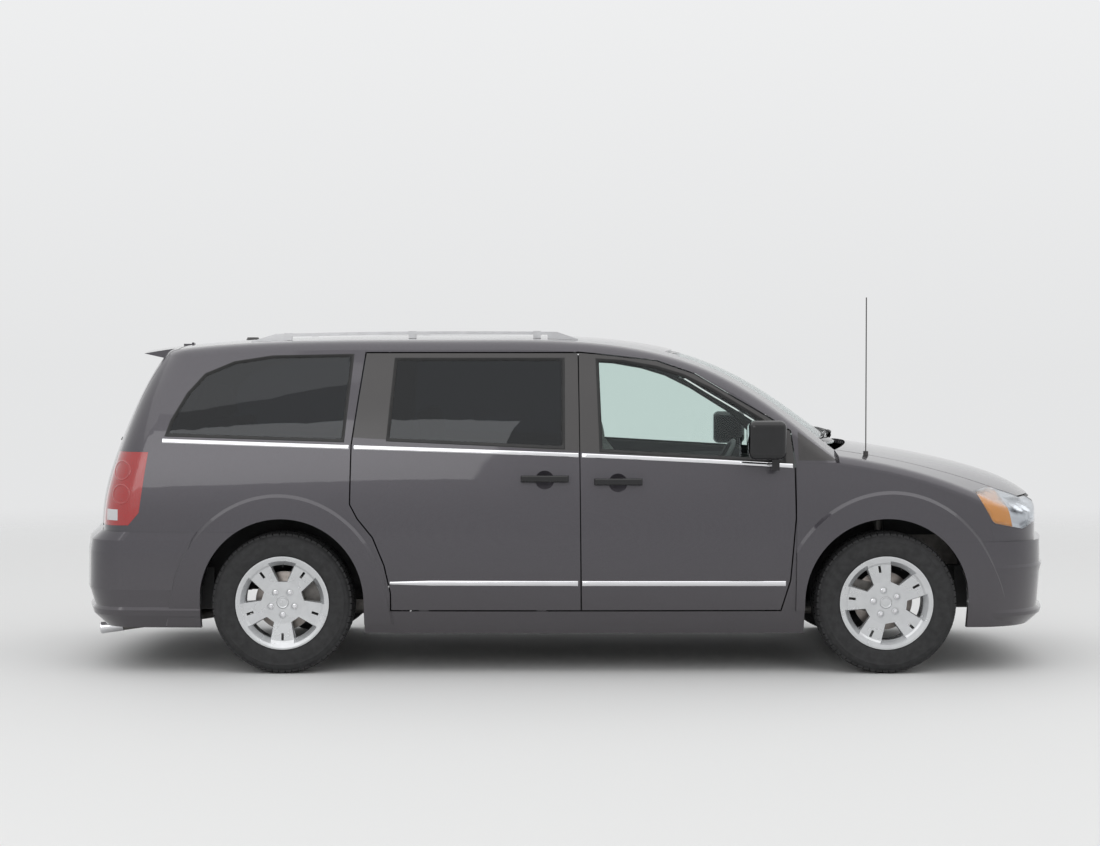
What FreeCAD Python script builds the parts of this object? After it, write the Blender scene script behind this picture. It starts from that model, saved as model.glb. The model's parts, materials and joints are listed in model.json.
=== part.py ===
# Full-size minivan: seven seats, two swinging front doors, two sliding side doors, a top-hinged
# liftgate, a front-hinged-at-the-cowl hood and four wheels, the front pair steered.
# Frame: +X forward, +Y to the vehicle's left, +Z up. The origin is on the ground under the middle
# of the bounding box. All lengths are millimetres, all angles degrees.
import FreeCAD, Part
import math
import os

V = FreeCAD.Vector
doc = FreeCAD.newDocument("minivan")

# Driving dimensions, one row each: alias, value.
DRIVING = [
    ("overall_length", 5150), ("body_width", 1968), ("roof_height", 1738),
    ("wheelbase", 3078), ("front_overhang", 943), ("track_half", 825),
    ("tyre_radius", 362), ("tyre_width", 225), ("tyre_bead_radius", 219), ("rim_lip_radius", 238),
    ("sill_bottom", 252), ("door_bottom", 325), ("belt_mid_height", 1128),
    ("nose_plan_radius", 2400), ("tail_plan_radius", 2600),
    ("roof_edge_fillet", 75), ("hood_edge_fillet", 60),
    ("cabin_wall", 55), ("roof_wall", 42), ("door_wall", 48), ("front_wall", 38), ("hood_thickness", 26),
    ("edge_thickness", 10), ("edge_setback", 9), ("fender_lip", 3), ("grille_setback", 8), ("lamp_depth", 34),
    ("bumper_wall", 34), ("panel_gap", 7), ("seat_gap", 0.3),
    ("arch_radius", 418), ("arch_lift", 14), ("liner_radius", 448), ("liner_wall", 6),
    ("flare_reach", 519), ("flare_height", 15), ("rear_inner_wall", 600), ("front_inner_wall", 486),
    ("glass_inset", 9), ("glass_thickness", 5),
    ("b_seam_x", 70), ("door_front_setback", 466), ("slider_rear_x", -1092),
    ("floor_height", 292), ("floor_thickness", 30), ("firewall_x", 1300),
    ("disc_radius", 151), ("disc_thickness", 25), ("spindle_radius", 20), ("bearing_clearance", 0.05),
    ("lug_circle_radius", 63.5), ("lug_hole_radius", 7), ("lug_pocket_radius", 19), ("spoke_slot_width", 13),
    ("hinge_pin_radius", 5), ("hinge_clearance", 0.3), ("door_axis_setback", 86), ("door_axis_depth", 62),
    ("kingpin_lean", 12), ("kingpin_offset", 117), ("strut_radius", 25),
    ("seat_width", 520), ("seat_depth", 500), ("seat_cushion", 150), ("seat_back_height", 620),
    ("fuel_axis_depth", 50.4), ("fuel_axis_lean", 8.23), ("rail_height", 36), ("rail_depth", 16), ("antenna_length", 815), ("pipe_radius", 28),
]
sheet = doc.addObject("Spreadsheet::Sheet", "driving_dimensions")
for row, (alias, value) in enumerate(DRIVING, start=1):
    sheet.set(f"A{row}", alias)
    sheet.set(f"B{row}", str(value))
    sheet.setAlias(f"B{row}", alias)
doc.recompute()


def size(alias):
    return float(getattr(sheet, alias))


# Places that follow from the driving dimensions.
nose_x = size("overall_length") / 2
tail_x = -nose_x
front_axle_x = nose_x - size("front_overhang")
rear_axle_x = front_axle_x - size("wheelbase")
half_width = size("body_width") / 2
roof_z = size("roof_height")
sill_z = size("sill_bottom")
belt_z = size("belt_mid_height")
axle_z = size("tyre_radius")
gap = size("panel_gap")
fit = size("seat_gap")
b_seam_x = size("b_seam_x")
door_front_x = front_axle_x - size("door_front_setback")
slider_rear_x = size("slider_rear_x")
side_middle_x = -100

nodes = {}


def add(label, shape):
    """Keeps a finished shape as one named object of the document."""
    feature = doc.addObject("Part::Feature", label)
    feature.Shape = shape
    feature.Label = label
    nodes[label] = feature
    return feature


def mirrored(shape):
    return shape.mirror(V(0, 0, 0), V(0, 1, 0))


def both_sides(shape):
    return Part.makeCompound([shape, mirrored(shape)])


def box(x0, x1, y0, y1, z0, z1):
    return Part.makeBox(x1 - x0, y1 - y0, z1 - z0, V(x0, y0, z0))


def rod(start, end, radius):
    direction = V(*end) - V(*start)
    return Part.makeCylinder(radius, direction.Length, V(*start), direction)


def cylinder_y(x, z, radius, y0, y1):
    return Part.makeCylinder(radius, y1 - y0, V(x, y0, z), V(0, 1, 0))


def joined(*shapes):
    return shapes[0].fuse(list(shapes[1:])).removeSplitter()


def without(shape, *cutters):
    return shape.cut(list(cutters))


def biggest(shape):
    return max(shape.Solids, key=lambda s: s.Volume)


def arc_centre(start, middle, end):
    (ax, ay), (bx, by), (cx, cy) = start, middle, end
    twice = 2 * (ax * (by - cy) + bx * (cy - ay) + cx * (ay - by))
    sa, sb, sc = ax * ax + ay * ay, bx * bx + by * by, cx * cx + cy * cy
    return ((sa * (by - cy) + sb * (cy - ay) + sc * (ay - by)) / twice,
            (sa * (cx - bx) + sb * (ax - cx) + sc * (bx - ax)) / twice)


def directions(start, row):
    """Unit directions in which an outline row leaves its start and reaches its end."""
    end = row[-2:]
    chord = (end[0] - start[0], end[1] - start[1])
    if len(row) == 4:
        centre = arc_centre(start, row[:2], end)
        results = []
        for point in (start, end):
            across = (-(point[1] - centre[1]), point[0] - centre[0])
            sign = 1 if across[0] * chord[0] + across[1] * chord[1] > 0 else -1
            length = math.hypot(*across)
            results.append((sign * across[0] / length, sign * across[1] / length))
        return results
    length = math.hypot(*chord)
    return [(chord[0] / length, chord[1] / length)] * 2


def moved_outline(points, distance):
    """The same outline with every edge moved outwards by a distance."""
    corners = [p[-2:] for p in points]
    doubled = sum(a[0] * b[1] - b[0] * a[1] for a, b in zip(corners[-1:] + corners[:-1], corners))
    outward = distance if doubled > 0 else -distance
    ways = [directions(corners[i - 1], row) for i, row in enumerate(points)]
    result = []
    for i, row in enumerate(points):
        (ux, uy), (vx, vy) = ways[i][1], ways[(i + 1) % len(points)][0]
        share = outward / (1 + ux * vx + uy * vy)
        corner = (corners[i][0] + share * (uy + vy), corners[i][1] - share * (ux + vx))
        if len(row) == 4:
            centre = arc_centre(corners[i - 1], row[:2], corners[i])
            radial = (row[0] - centre[0], row[1] - centre[1])
            facing = 1 if radial[0] * (uy + ways[i][0][1]) - radial[1] * (ux + ways[i][0][0]) > 0 else -1
            stretch = facing * outward / math.hypot(*radial)
            result.append((row[0] + stretch * radial[0], row[1] + stretch * radial[1]) + corner)
        else:
            result.append(corner)
    return result


def outline_face(points, plane, offset=0):
    """A flat face from (a, b) corners; a four-number row is an arc: its middle, then its end."""
    if offset:
        points = moved_outline(points, offset)
    place = {"xz": lambda a, b: V(a, 0, b), "xy": lambda a, b: V(a, b, 0), "yz": lambda a, b: V(0, a, b)}[plane]
    corners = [place(*p[-2:]) for p in points]
    edges = []
    for i, point in enumerate(points):
        start, end = corners[i - 1], corners[i]
        if len(point) == 4:
            edges.append(Part.Arc(start, place(*point[:2]), end).toShape())
        else:
            edges.append(Part.makeLine(start, end))
    return Part.Face(Part.Wire(edges))


def prism(face, low, high, plane):
    """The face pushed along its normal axis from low to high."""
    axis = {"xz": V(0, 1, 0), "xy": V(0, 0, 1), "yz": V(1, 0, 0)}[plane]
    moved = face.copy()
    moved.translate(axis * low)
    return moved.extrude(axis * (high - low))


# Body envelope: plan outlines stacked in height make the sides, and cross arcs stacked in length
# make the roof with its windshield, and the hood.
def tangent_circle_centre(centre_a, radius_a, centre_b, radius_b, towards):
    dx, dy = centre_b[0] - centre_a[0], centre_b[1] - centre_a[1]
    distance = math.hypot(dx, dy)
    along = (radius_a ** 2 - radius_b ** 2 + distance ** 2) / (2 * distance)
    across = math.sqrt(max(radius_a ** 2 - along ** 2, 0))
    base = (centre_a[0] + along * dx / distance, centre_a[1] + along * dy / distance)
    options = [(base[0] + k * across * dy / distance, base[1] - k * across * dx / distance) for k in (1, -1)]
    return max(options, key=lambda p: towards * p[0])


def corner_points(end_centre, end_radius, side_centre, side_radius, corner_radius, towards):
    """Start, middle and end of the corner arc between an end arc and a side arc."""
    centre = tangent_circle_centre(end_centre, end_radius - corner_radius,
                                   side_centre, side_radius - corner_radius, towards)

    def reach(origin, radius):
        share = radius / (radius - corner_radius)
        return tuple(o + (c - o) * share for o, c in zip(origin, centre))

    on_end, on_side = reach(end_centre, end_radius), reach(side_centre, side_radius)
    angles = [math.atan2(p[1] - centre[1], p[0] - centre[0]) for p in (on_end, on_side)]
    middle_angle = sum(angles) / 2
    middle = (centre[0] + corner_radius * math.cos(middle_angle), centre[1] + corner_radius * math.sin(middle_angle))
    return on_end, middle, on_side


def plan_outline(level, inset):
    z, tuck, front_set, rear_set, front_corner, rear_corner, side_radius = level
    half = half_width - tuck - inset
    front, rear = nose_x - front_set - inset, tail_x + rear_set + inset
    nose_radius, tail_radius = size("nose_plan_radius") - inset, size("tail_plan_radius") - inset
    side = side_radius - inset
    side_centre = (side_middle_x, half - side)
    f_end, f_mid, f_side = corner_points((front - nose_radius, 0), nose_radius, side_centre, side, front_corner - inset, 1)
    r_end, r_mid, r_side = corner_points((rear + tail_radius, 0), tail_radius, side_centre, side, rear_corner - inset, -1)

    def arc(*points):
        return Part.Arc(*[V(x, y, z) for x, y in points]).toShape()

    def other(p):
        return (p[0], -p[1])

    return Part.Wire([
        arc(other(f_end), (front, 0), f_end), arc(f_end, f_mid, f_side),
        arc(f_side, (side_middle_x, half), r_side), arc(r_side, r_mid, r_end),
        arc(r_end, (rear, 0), other(r_end)), arc(other(r_end), other(r_mid), other(r_side)),
        arc(other(r_side), (side_middle_x, -half), other(f_side)), arc(other(f_side), other(f_mid), other(f_end)),
    ])


# Columns: height, tuck in from half width, setback from nose, from tail, front corner radius, rear corner radius, side radius.
BODY_LEVELS = [
    (sill_z - 47, 79, 75, 130, 330, 175, 45000),
    (sill_z + 78, 34, 55, 92, 345, 185, 45000),
    (sill_z + 308, 2, 40, 75, 355, 195, 45000),
    (belt_z - 268, 0, 43, 84, 355, 195, 45000),
    (belt_z + 2, 29, 85, 160, 345, 185, 35000),
    (belt_z + 272, 99, 125, 275, 335, 170, 25000),
    (roof_z + 37, 214, 175, 560, 320, 150, 18000),
]
FRONT_BUMPER_LEVELS = [
    (sill_z - 20, 60, 72, 300, 330, 175, 45000),
    (sill_z + 36, 36, 8, 300, 340, 175, 45000),
    (sill_z + 54, 30, 3, 300, 345, 175, 45000),
    (sill_z + 70, 25, 24, 300, 345, 175, 45000),
    (sill_z + 248, 1, 10, 300, 355, 175, 45000),
    (sill_z + 287, -3, 0, 300, 360, 175, 45000),
    (sill_z + 302, -4, 9, 300, 360, 175, 45000),
    (sill_z + 421, -5, 11, 300, 360, 175, 45000),
]
REAR_BUMPER_LEVELS = [
    (sill_z - 20, 60, 300, 92, 300, 185, 45000),
    (sill_z + 44, 26, 300, 22, 300, 200, 45000),
    (sill_z + 72, 17, 300, 14, 300, 205, 45000),
    (sill_z + 88, 19, 300, 28, 300, 205, 45000),
    (sill_z + 178, 3, 300, 0, 300, 215, 45000),
    (sill_z + 368, -3, 300, 3, 300, 215, 45000),
    (sill_z + 430, -2, 300, 11, 300, 210, 45000),
    (sill_z + 478, 0, 300, 64, 300, 195, 45000),
]
FRONT_BUMPER_INNER = [FRONT_BUMPER_LEVELS[0], FRONT_BUMPER_LEVELS[3], FRONT_BUMPER_LEVELS[6], FRONT_BUMPER_LEVELS[7]]
REAR_BUMPER_INNER = [REAR_BUMPER_LEVELS[0], REAR_BUMPER_LEVELS[3], REAR_BUMPER_LEVELS[5], REAR_BUMPER_LEVELS[7]]
# Columns: place along the car, height on the centre line, crown radius across.
ROOF_STATIONS = [
    (tail_x - 125, roof_z - 250, 5000), (tail_x + 575, roof_z - 46, 6500), (tail_x + 1325, roof_z - 6, 8000),
    (tail_x + 2075, roof_z, 8000), (tail_x + 2775, roof_z - 14, 6500), (door_front_x - 420, roof_z - 124, 4200),
    (door_front_x + 34, roof_z - 372, 3100), (door_front_x + 454, roof_z - 634, 2800),
]
HOOD_STATIONS = [
    (door_front_x - 70, belt_z + 94, 6000), (door_front_x + 480, belt_z + 18, 5000),
    (door_front_x + 850, belt_z - 50, 3300), (nose_x - 310, belt_z - 115, 2400),
    (nose_x - 150, belt_z - 178, 2000), (nose_x - 50, belt_z - 243, 1800), (nose_x + 60, belt_z - 350, 1700),
]


def stacked(levels, inset, creased=False):
    return Part.makeLoft([plan_outline(level, inset) for level in levels], True, creased)


def crowned(stations, inset):
    sections = []
    reach, bottom = 1150, 100
    for x, z, radius in stations:
        apex, bend = z - inset, radius - inset
        edge = apex - (bend - math.sqrt(bend ** 2 - reach ** 2))
        sections.append(Part.Wire([
            Part.Arc(V(x, -reach, edge), V(x, 0, apex), V(x, reach, edge)).toShape(),
            Part.makeLine(V(x, reach, edge), V(x, reach, bottom)),
            Part.makeLine(V(x, reach, bottom), V(x, -reach, bottom)),
            Part.makeLine(V(x, -reach, bottom), V(x, -reach, edge)),
        ]))
    return Part.makeLoft(sections, True, False)


def rounded_top(solid, near, radius):
    """Rounds the long side edges of the upper face."""
    probe = Part.Vertex(near)
    top = min(solid.Faces, key=lambda f: f.distToShape(probe)[0])
    edges = [e for e in top.Edges if e.BoundBox.XLength > 30 and abs(e.CenterOfMass.y) > 300]
    return solid.makeFillet(radius, edges)


made = {}


def body_sides(inset):
    if inset not in made:
        made[inset] = stacked(BODY_LEVELS, inset)
    return made[inset]


def cabin_envelope(side_inset, roof_inset, fillet=0):
    key = (side_inset, roof_inset, fillet)
    if key not in made:
        solid = body_sides(side_inset).common(crowned(ROOF_STATIONS, roof_inset)).Solids[0]
        made[key] = rounded_top(solid, V(side_middle_x, 0, roof_z), fillet) if fillet else solid
    return made[key]


def front_envelope(side_inset, hood_inset, fillet=0):
    solid = body_sides(side_inset).common(crowned(HOOD_STATIONS, hood_inset)).Solids[0]
    return rounded_top(solid, V(front_axle_x, 0, belt_z), fillet) if fillet else solid



cabin_outer = cabin_envelope(0, 0, size("roof_edge_fillet"))
cabin_inner = cabin_envelope(size("cabin_wall"), size("roof_wall"), size("roof_edge_fillet") / 2)
cabin_flange = cabin_envelope(size("edge_thickness"), size("edge_thickness"), size("roof_edge_fillet") - 9)
door_inner = cabin_envelope(size("door_wall"), size("roof_wall"), size("roof_edge_fillet") / 2)
front_outer = front_envelope(0, 0, size("hood_edge_fillet"))
front_inner = front_envelope(size("front_wall"), size("hood_thickness"), size("hood_edge_fillet") / 2)
side_reach = (-half_width - 200, -size("rear_inner_wall") - 95)


# Openings and panel outlines. Heights are given from the belt line, lengths from a named seam.
def from_seam(seam_x, rows):
    return [tuple(v + (seam_x, belt_z)[i % 2] for i, v in enumerate(row)) for row in rows]


FRONT_DOOR = from_seam(door_front_x, [
    (-1089, -803), (-73, -803), (-27, -647), (0, -328), (-5, -38), (-24, 111), (-133, 180), (-310, 283),
    (-506, 401), (-703, 469), (-1015, 504), (-1104, 512)])
FRONT_WINDOW = from_seam(door_front_x, [
    (-993, 8), (-53, -46), (-57, 63), (-167, 171), (-412, 322), (-561, 396), (-705, 440), (-873, 469), (-1011, 477)])
SLIDING_DOOR = from_seam(b_seam_x, [
    (-962, -803), (7, -803), (0, 40), (-7, 510), (-1098, 510), (-1162, 40), (-1167, -260), (-1129, -332),
    (-1051, -428), (-993, -570), (-962, -712)])
SLIDING_WINDOW = from_seam(b_seam_x, [(-981, 62), (-80, 22), (-80, 480), (-946, 480)])
QUARTER_WINDOW = from_seam(slider_rear_x, [
    (-953, 85), (-40, 57), (0, 500), (-421, 492), (-616, 462), (-765, 400), (-852, 300), (-928, 163)])
SAIL_PANEL = from_seam(door_front_x, [(14, -38), (214, -40), (14, 106)])
HEADLAMP = from_seam(front_axle_x, [
    (453, -197), (578, -184), (702, -196), (1100, -240), (1100, -372), (784, -364), (712, -393), (555, -361), (539, -350)])
TAIL_LAMP = from_seam(tail_x, [(-200, 2), (445, 2), (403, -305), (348, -369), (-200, -384)])
windshield_top_x = door_front_x - 579
cowl_side_x = door_front_x + 216
WINDSHIELD_PLAN = [
    (cowl_side_x - 48, -724), (cowl_side_x + 90, 0, cowl_side_x - 48, 724),
    (windshield_top_x - 70, 592), (windshield_top_x, 0, windshield_top_x - 70, -592)]
HOOD_PLAN = [
    (1920, -704), (2240, -660), (2420, -590), (2520, -505), (2800, -505),
    (2800, 505), (2520, 505), (2420, 590), (2240, 660), (1920, 704), (cowl_side_x + 14, 722),
    (cowl_side_x + 149, 0, cowl_side_x + 14, -722)]
LIFTGATE_BACK = [
    (-690, 742), (690, 742), (735, 800), (735, 1120), (690, 1420), (632, 1760), (-632, 1760), (-690, 1420),
    (-735, 1120), (-735, 800)]
LIFTGATE_WINDOW = [(-590, 1110), (590, 1110), (560, 1420), (515, 1585), (-515, 1585), (-560, 1420)]

roof_rear_x = tail_x + 560
roof_half = 640
hood_low_z = belt_z - 238


def right_prism(points, offset=0):
    return prism(outline_face(points, "xz", offset), side_reach[0], side_reach[1], "xz")


glass_in, glass_thick = size("glass_inset"), size("glass_thickness")
glass_outer = cabin_envelope(glass_in, glass_in, 70)
glass_inner = cabin_envelope(glass_in + glass_thick, glass_in + glass_thick, 66)


def pane(region):
    """One pane of glass: the thin layer of the cabin envelope inside a region."""
    return biggest(glass_outer.common(region).cut(glass_inner))


def arch_void(axle_x, radius, inner_y):
    """Space for one right wheel, open downwards."""
    high = axle_z + size("arch_lift")
    low_y = -half_width - 100
    return joined(cylinder_y(axle_x, high, radius, low_y, -inner_y),
                  box(axle_x - radius, axle_x + radius, low_y, -inner_y, 0, high))


rear_wall = size("rear_inner_wall")
lining_reach = size("liner_radius") + size("liner_wall") + fit
front_wall_y = size("front_inner_wall")
front_arch = arch_void(front_axle_x, size("arch_radius"), front_wall_y)
rear_arch = arch_void(rear_axle_x, size("arch_radius"), rear_wall)


def flare(axle_x, keep):
    """Raised band round a wheel opening, its outer edge sloped at 45 degrees."""
    high = axle_z + size("arch_lift")
    reach = size("flare_reach")
    band = Part.makeCone(reach + 210, reach - 60, 270, V(axle_x, -half_width + 210, high), V(0, -1, 0))
    lifted = body_sides(-size("flare_height")).common(band.common(keep)).cut(body_sides(20))
    return lifted.cut(arch_void(axle_x, size("arch_radius"), front_wall_y))


# Hinge line of the front doors: inside the panel's depth, behind its leading edge, as on the real
# door. The cavity is the room that the leading edge sweeps behind the fender's thin lip.
hinge_r = size("hinge_pin_radius")
door_axis = V(door_front_x - size("door_axis_setback"), -half_width + size("door_axis_depth"), 0)
hinge_heights = (belt_z - 520, belt_z - 330)
hinge_length = 46
sweep_radius = math.hypot(size("door_axis_setback"), size("door_axis_depth")) + 6
cavity_top = belt_z + 44
hinge_cavity = Part.makeCylinder(sweep_radius, cavity_top - size("door_bottom"), V(door_axis.x, door_axis.y, size("door_bottom")))
hinge_cavity = hinge_cavity.common(box(door_axis.x - 36, 1300, -1200, -844, 0, roof_z))
hinge_cavity = body_sides(size("fender_lip")).common(hinge_cavity)

# Hood, fenders and the front face.
hood_cutter = prism(outline_face(HOOD_PLAN, "xy"), hood_low_z, roof_z, "xy")
hood_room = prism(outline_face(HOOD_PLAN, "xy", gap), hood_low_z - gap, roof_z, "xy")
lamp_cutter = prism(outline_face(HEADLAMP, "xz"), -half_width - 200, -505, "xz")
lamp_room = prism(outline_face(HEADLAMP, "xz", fit), -half_width - 200, -505 + fit, "xz")
bumper_top_z = sill_z + 423
BUMPER_SIDE = [
    (front_axle_x + 150, 150), (2700, 150), (2700, belt_z - 380), (2422, belt_z - 380), (2344, belt_z - 397),
    (2187, belt_z - 365), (2160, belt_z - 352), (2176, bumper_top_z), (front_axle_x + 150, bumper_top_z)]
hood_side_y = 722
hood_axis = V(cowl_side_x + 10, 0, belt_z - 18)
hood_pin = hinge_r + 3
cowl_room = box(cowl_side_x - 30, cowl_side_x + 150, -hood_side_y - gap, hood_side_y + gap, belt_z - 100, roof_z)
hood = biggest(front_outer.common(hood_cutter).cut(front_inner))
hood_lug = joined(cylinder_y(hood_axis.x, hood_axis.z, hood_pin + 5, 676, 700),
                  cylinder_y(hood_axis.x, hood_axis.z, hood_pin, 652, 690),
                  box(hood_axis.x + 6, hood_axis.x + 34, 676, 700, hood_axis.z - 4, hood_axis.z + 60))
hood_lug = hood_lug.common(front_outer).common(prism(outline_face(HOOD_PLAN, "xy"), 900, roof_z, "xy").fuse(
    cylinder_y(hood_axis.x, hood_axis.z, hood_pin + 5, 650, 702)))
hood = biggest(hood.fuse([hood_lug, mirrored(hood_lug)]))
below_belt = box(door_front_x + gap / 2, 2700, -half_width - 100, -500, 150, belt_z - 52)
beside_hood = box(cowl_side_x + gap, 2700, -half_width - 100, -500, belt_z - 60, roof_z)
bumper_room = prism(outline_face(BUMPER_SIDE, "xz", fit), -half_width - 200, half_width + 200, "xz")
behind_door = prism(outline_face(FRONT_DOOR, "xz", gap / 2), -half_width - 200, -500, "xz")
rocker_strip = box(500, front_axle_x, -half_width - 200, -500, 100, size("door_bottom") - gap / 2)
front_face = box(2300, 2700, -505, 505, belt_z - 400, belt_z - 240)
fender = front_outer.common(below_belt.fuse(beside_hood)).cut(front_inner)
fender = without(fender, hood_room, cowl_room, lamp_room, bumper_room, behind_door, rocker_strip, front_arch, front_face)
fender_flare = flare(front_axle_x, box(door_front_x + 3, 2700, -1200, -500, size("door_bottom"), roof_z))
fender_flare = without(fender_flare, bumper_room, behind_door)
fender = biggest(fender.fuse(fender_flare).cut(hinge_cavity))

# Front bumper: the lower face of the nose, with two flare ends that carry on round the wheels.
bumper_block = prism(outline_face(BUMPER_SIDE, "xz"), -half_width - 200, half_width + 200, "xz")
bumper_front = bumper_block.common(box(front_axle_x, 2700, -1200, 1200, 100, roof_z))
bumper_outer = stacked(FRONT_BUMPER_LEVELS, 0, True)
bumper_inner = stacked(FRONT_BUMPER_INNER, size("bumper_wall"), True)
upper_zone = bumper_front.common(box(front_axle_x, 2700, -1200, 1200, bumper_top_z - 30, roof_z))
upper_nose = front_outer.common(upper_zone).cut(front_inner)
bumper_flare = flare(front_axle_x, box(front_axle_x + 150, 2700, -1200, -500, sill_z - 10, bumper_top_z))
bar_heights = (sill_z + 84, sill_z + 132, sill_z + 180)
intake = Part.makeCompound([box(2300, 2700, -545, 545, z, z + 36) for z in bar_heights])
front_bumper = bumper_outer.common(bumper_front).cut(bumper_inner)
front_bumper = front_bumper.fuse([upper_nose, bumper_flare, mirrored(bumper_flare)])
front_bumper = biggest(without(front_bumper, front_arch, mirrored(front_arch), intake))

# Grille: a frame between the lamps filled with level bars on upright ribs.
recess, lamp_depth = size("grille_setback"), size("lamp_depth")
lamp_back = front_envelope(lamp_depth, lamp_depth)
grille_zone = box(2300, 2700, -505 + fit, 505 - fit, belt_z - 380 + fit, hood_low_z - gap)
bar_pitch, bar_gap = 30, 17
slots = [box(2200, 2800, y0, y0 + 292, z0, z0 + bar_gap)
         for y0 in (-468, -146, 176) for z0 in (belt_z - 362 + bar_pitch * i for i in range(4))]
grille = front_envelope(recess, recess).common(grille_zone.cut(slots)).cut(lamp_back)
grille = biggest(grille.cut(upper_nose))

# Lamps: closed shells set into the front and rear corners.
headlamp = front_outer.common(lamp_cutter).cut(lamp_back)
headlamp = biggest(without(headlamp, hood_room, front_face))

# Doors, glass and the body side.
windshield_opening = prism(outline_face(WINDSHIELD_PLAN, "xy"), 900, roof_z + 100, "xy")
windshield = pane(prism(outline_face(WINDSHIELD_PLAN, "xy", -fit), 1000, roof_z + 100, "xy"))
tail_lamp_cutter = prism(outline_face(TAIL_LAMP, "xz"), -half_width - 200, -745, "xz")
tail_lamp_room = prism(outline_face(TAIL_LAMP, "xz", fit), -half_width - 200, -745 + fit, "xz")
liftgate_cutter = prism(outline_face(LIFTGATE_BACK, "yz"), -2800, roof_rear_x - gap / 2, "yz")
liftgate_room = prism(outline_face(LIFTGATE_BACK, "yz", gap), -2800, roof_rear_x + gap / 2, "yz")


def door_panel(outline, window, core_front):
    """A door as thick as the real one, with a thin flange all round and its window cut."""
    skin = cabin_outer.common(right_prism(outline, -gap / 2).cut(right_prism(window)))
    core = right_prism(outline, -gap / 2 - size("edge_setback"))
    core = core.common(box(-2700, core_front, side_reach[0], 0, 0, 2000))
    rim = cabin_flange.common(right_prism(outline, gap).cut(core))
    return biggest(skin.cut(door_inner).cut(rim))


def handle_bowl(x, z):
    return Part.makeSphere(90, V(x, -half_width - 66, z))


front_handle_x, sliding_handle_x = b_seam_x + 193, b_seam_x - 179
front_handle_z, sliding_handle_z = belt_z - 160, belt_z - 145
knuckle = [Part.makeCylinder(hinge_r, hinge_length, V(door_axis.x, door_axis.y, z)) for z in hinge_heights]
webs = [box(door_axis.x - 30, door_axis.x + 2, door_axis.y - 23, door_axis.y + 2, z + 15, z + 31) for z in hinge_heights]
front_door = door_panel(FRONT_DOOR, FRONT_WINDOW, door_axis.x - 20)
front_door = front_door.cut(handle_bowl(front_handle_x, front_handle_z + 17))
front_door = biggest(front_door.fuse(knuckle + webs))
sliding_door = door_panel(SLIDING_DOOR, SLIDING_WINDOW, b_seam_x + 100)
sliding_door = biggest(without(sliding_door, handle_bowl(sliding_handle_x, sliding_handle_z + 17), rear_arch))
roller_z = size("door_bottom") - gap / 2 + fit
rollers = [box(b_seam_x + x, b_seam_x + x + 50, -925, -900, roller_z, roller_z + 30) for x in (-820, -220)]
sliding_door = biggest(sliding_door.fuse(rollers))
front_door_room = right_prism(FRONT_DOOR, gap / 2)
sliding_door_room = right_prism(SLIDING_DOOR, gap / 2)

center_roof = box(-2700, windshield_top_x, -roof_half - fit, roof_half + fit, belt_z + 300, roof_z + 100)
BODY_FRONT_LIMIT = [
    (-2700, 100), (front_axle_x, 100), (front_axle_x, size("door_bottom") - gap / 2 - fit),
    (door_front_x + 2, size("door_bottom") - gap / 2 - fit), (door_front_x + 2, belt_z - 52 + fit),
    (cowl_side_x + gap - fit, belt_z - 52 + fit), (cowl_side_x + gap - fit, roof_z + 100), (-2700, roof_z + 100)]
rear_bumper_top = sill_z + 474
body_zone = prism(outline_face(BODY_FRONT_LIMIT, "xz"), -1200, -roof_half - fit, "xz")
behind_bumper = box(-2700, rear_axle_x, -1200, 1200, 100, rear_bumper_top + fit).fuse(
    box(-2700, tail_x + 200, -742 - gap, 742 + gap, rear_bumper_top, rear_bumper_top + 30))
body_zone = without(body_zone, front_door_room, sliding_door_room, center_roof, windshield_opening, liftgate_room,
                    tail_lamp_room, behind_bumper, front_arch, cowl_room,
                    right_prism(QUARTER_WINDOW), right_prism(SAIL_PANEL))
body_side = biggest(cabin_outer.common(body_zone).cut(cabin_inner))
rear_flare = flare(rear_axle_x, box(-2700, b_seam_x, -1200, -500, sill_z, roof_z))
rear_flare = without(rear_flare, sliding_door_room, behind_bumper)
body_side = biggest(without(body_side.fuse(rear_flare), rear_arch, hinge_cavity))

# Inner frame of each side: sill, front hinge pillar and the pillar behind the doors, just inside the
# body's wall, with the brackets for the door hinges and the two jacking pads under the sill.
floor_z = size("floor_height")
floor_top = floor_z + size("floor_thickness")
inner_side = body_sides(size("cabin_wall") + fit)
frame_inner_y = -800 - fit
HINGE_PILLAR = [
    (door_axis.x - 62, sill_z), (door_front_x + 46, sill_z), (door_front_x + 46, belt_z - 80),
    (door_axis.x - 20, belt_z - 80), (door_axis.x - 62, belt_z - 328)]
PILLAR_SECTION = [(-1200, sill_z), (-868, sill_z), (-868, belt_z - 248), (-850, belt_z + 2), (-785, belt_z + 272),
                  (-700, belt_z + 492), (-1200, belt_z + 492)]
sill = box(-880, door_front_x + 20, -1200, frame_inner_y, sill_z - 60, floor_top - fit)
hinge_pillar = prism(outline_face(HINGE_PILLAR, "xz"), -1200, frame_inner_y, "xz")
pillar_base = prism(outline_face(PILLAR_SECTION, "yz"), b_seam_x - 45, b_seam_x + 50, "yz")
inner_frame = inner_side.common(joined(sill, hinge_pillar, pillar_base))
inner_frame = without(inner_frame, arch_void(front_axle_x, lining_reach, front_wall_y), hinge_cavity)
brackets = [box(door_axis.x - 12, door_axis.x + 12, door_axis.y - 9, frame_inner_y - 10, z + low, z + low + 13)
            for z in hinge_heights for low in (0, hinge_length - 13)]
pad_y = (-832, frame_inner_y)
pad_x = (door_front_x - 110, b_seam_x - 860)
jack_pads = [box(x - 35, x + 35, pad_y[0], pad_y[1], sill_z - 53, sill_z - 30) for x in pad_x]
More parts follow.
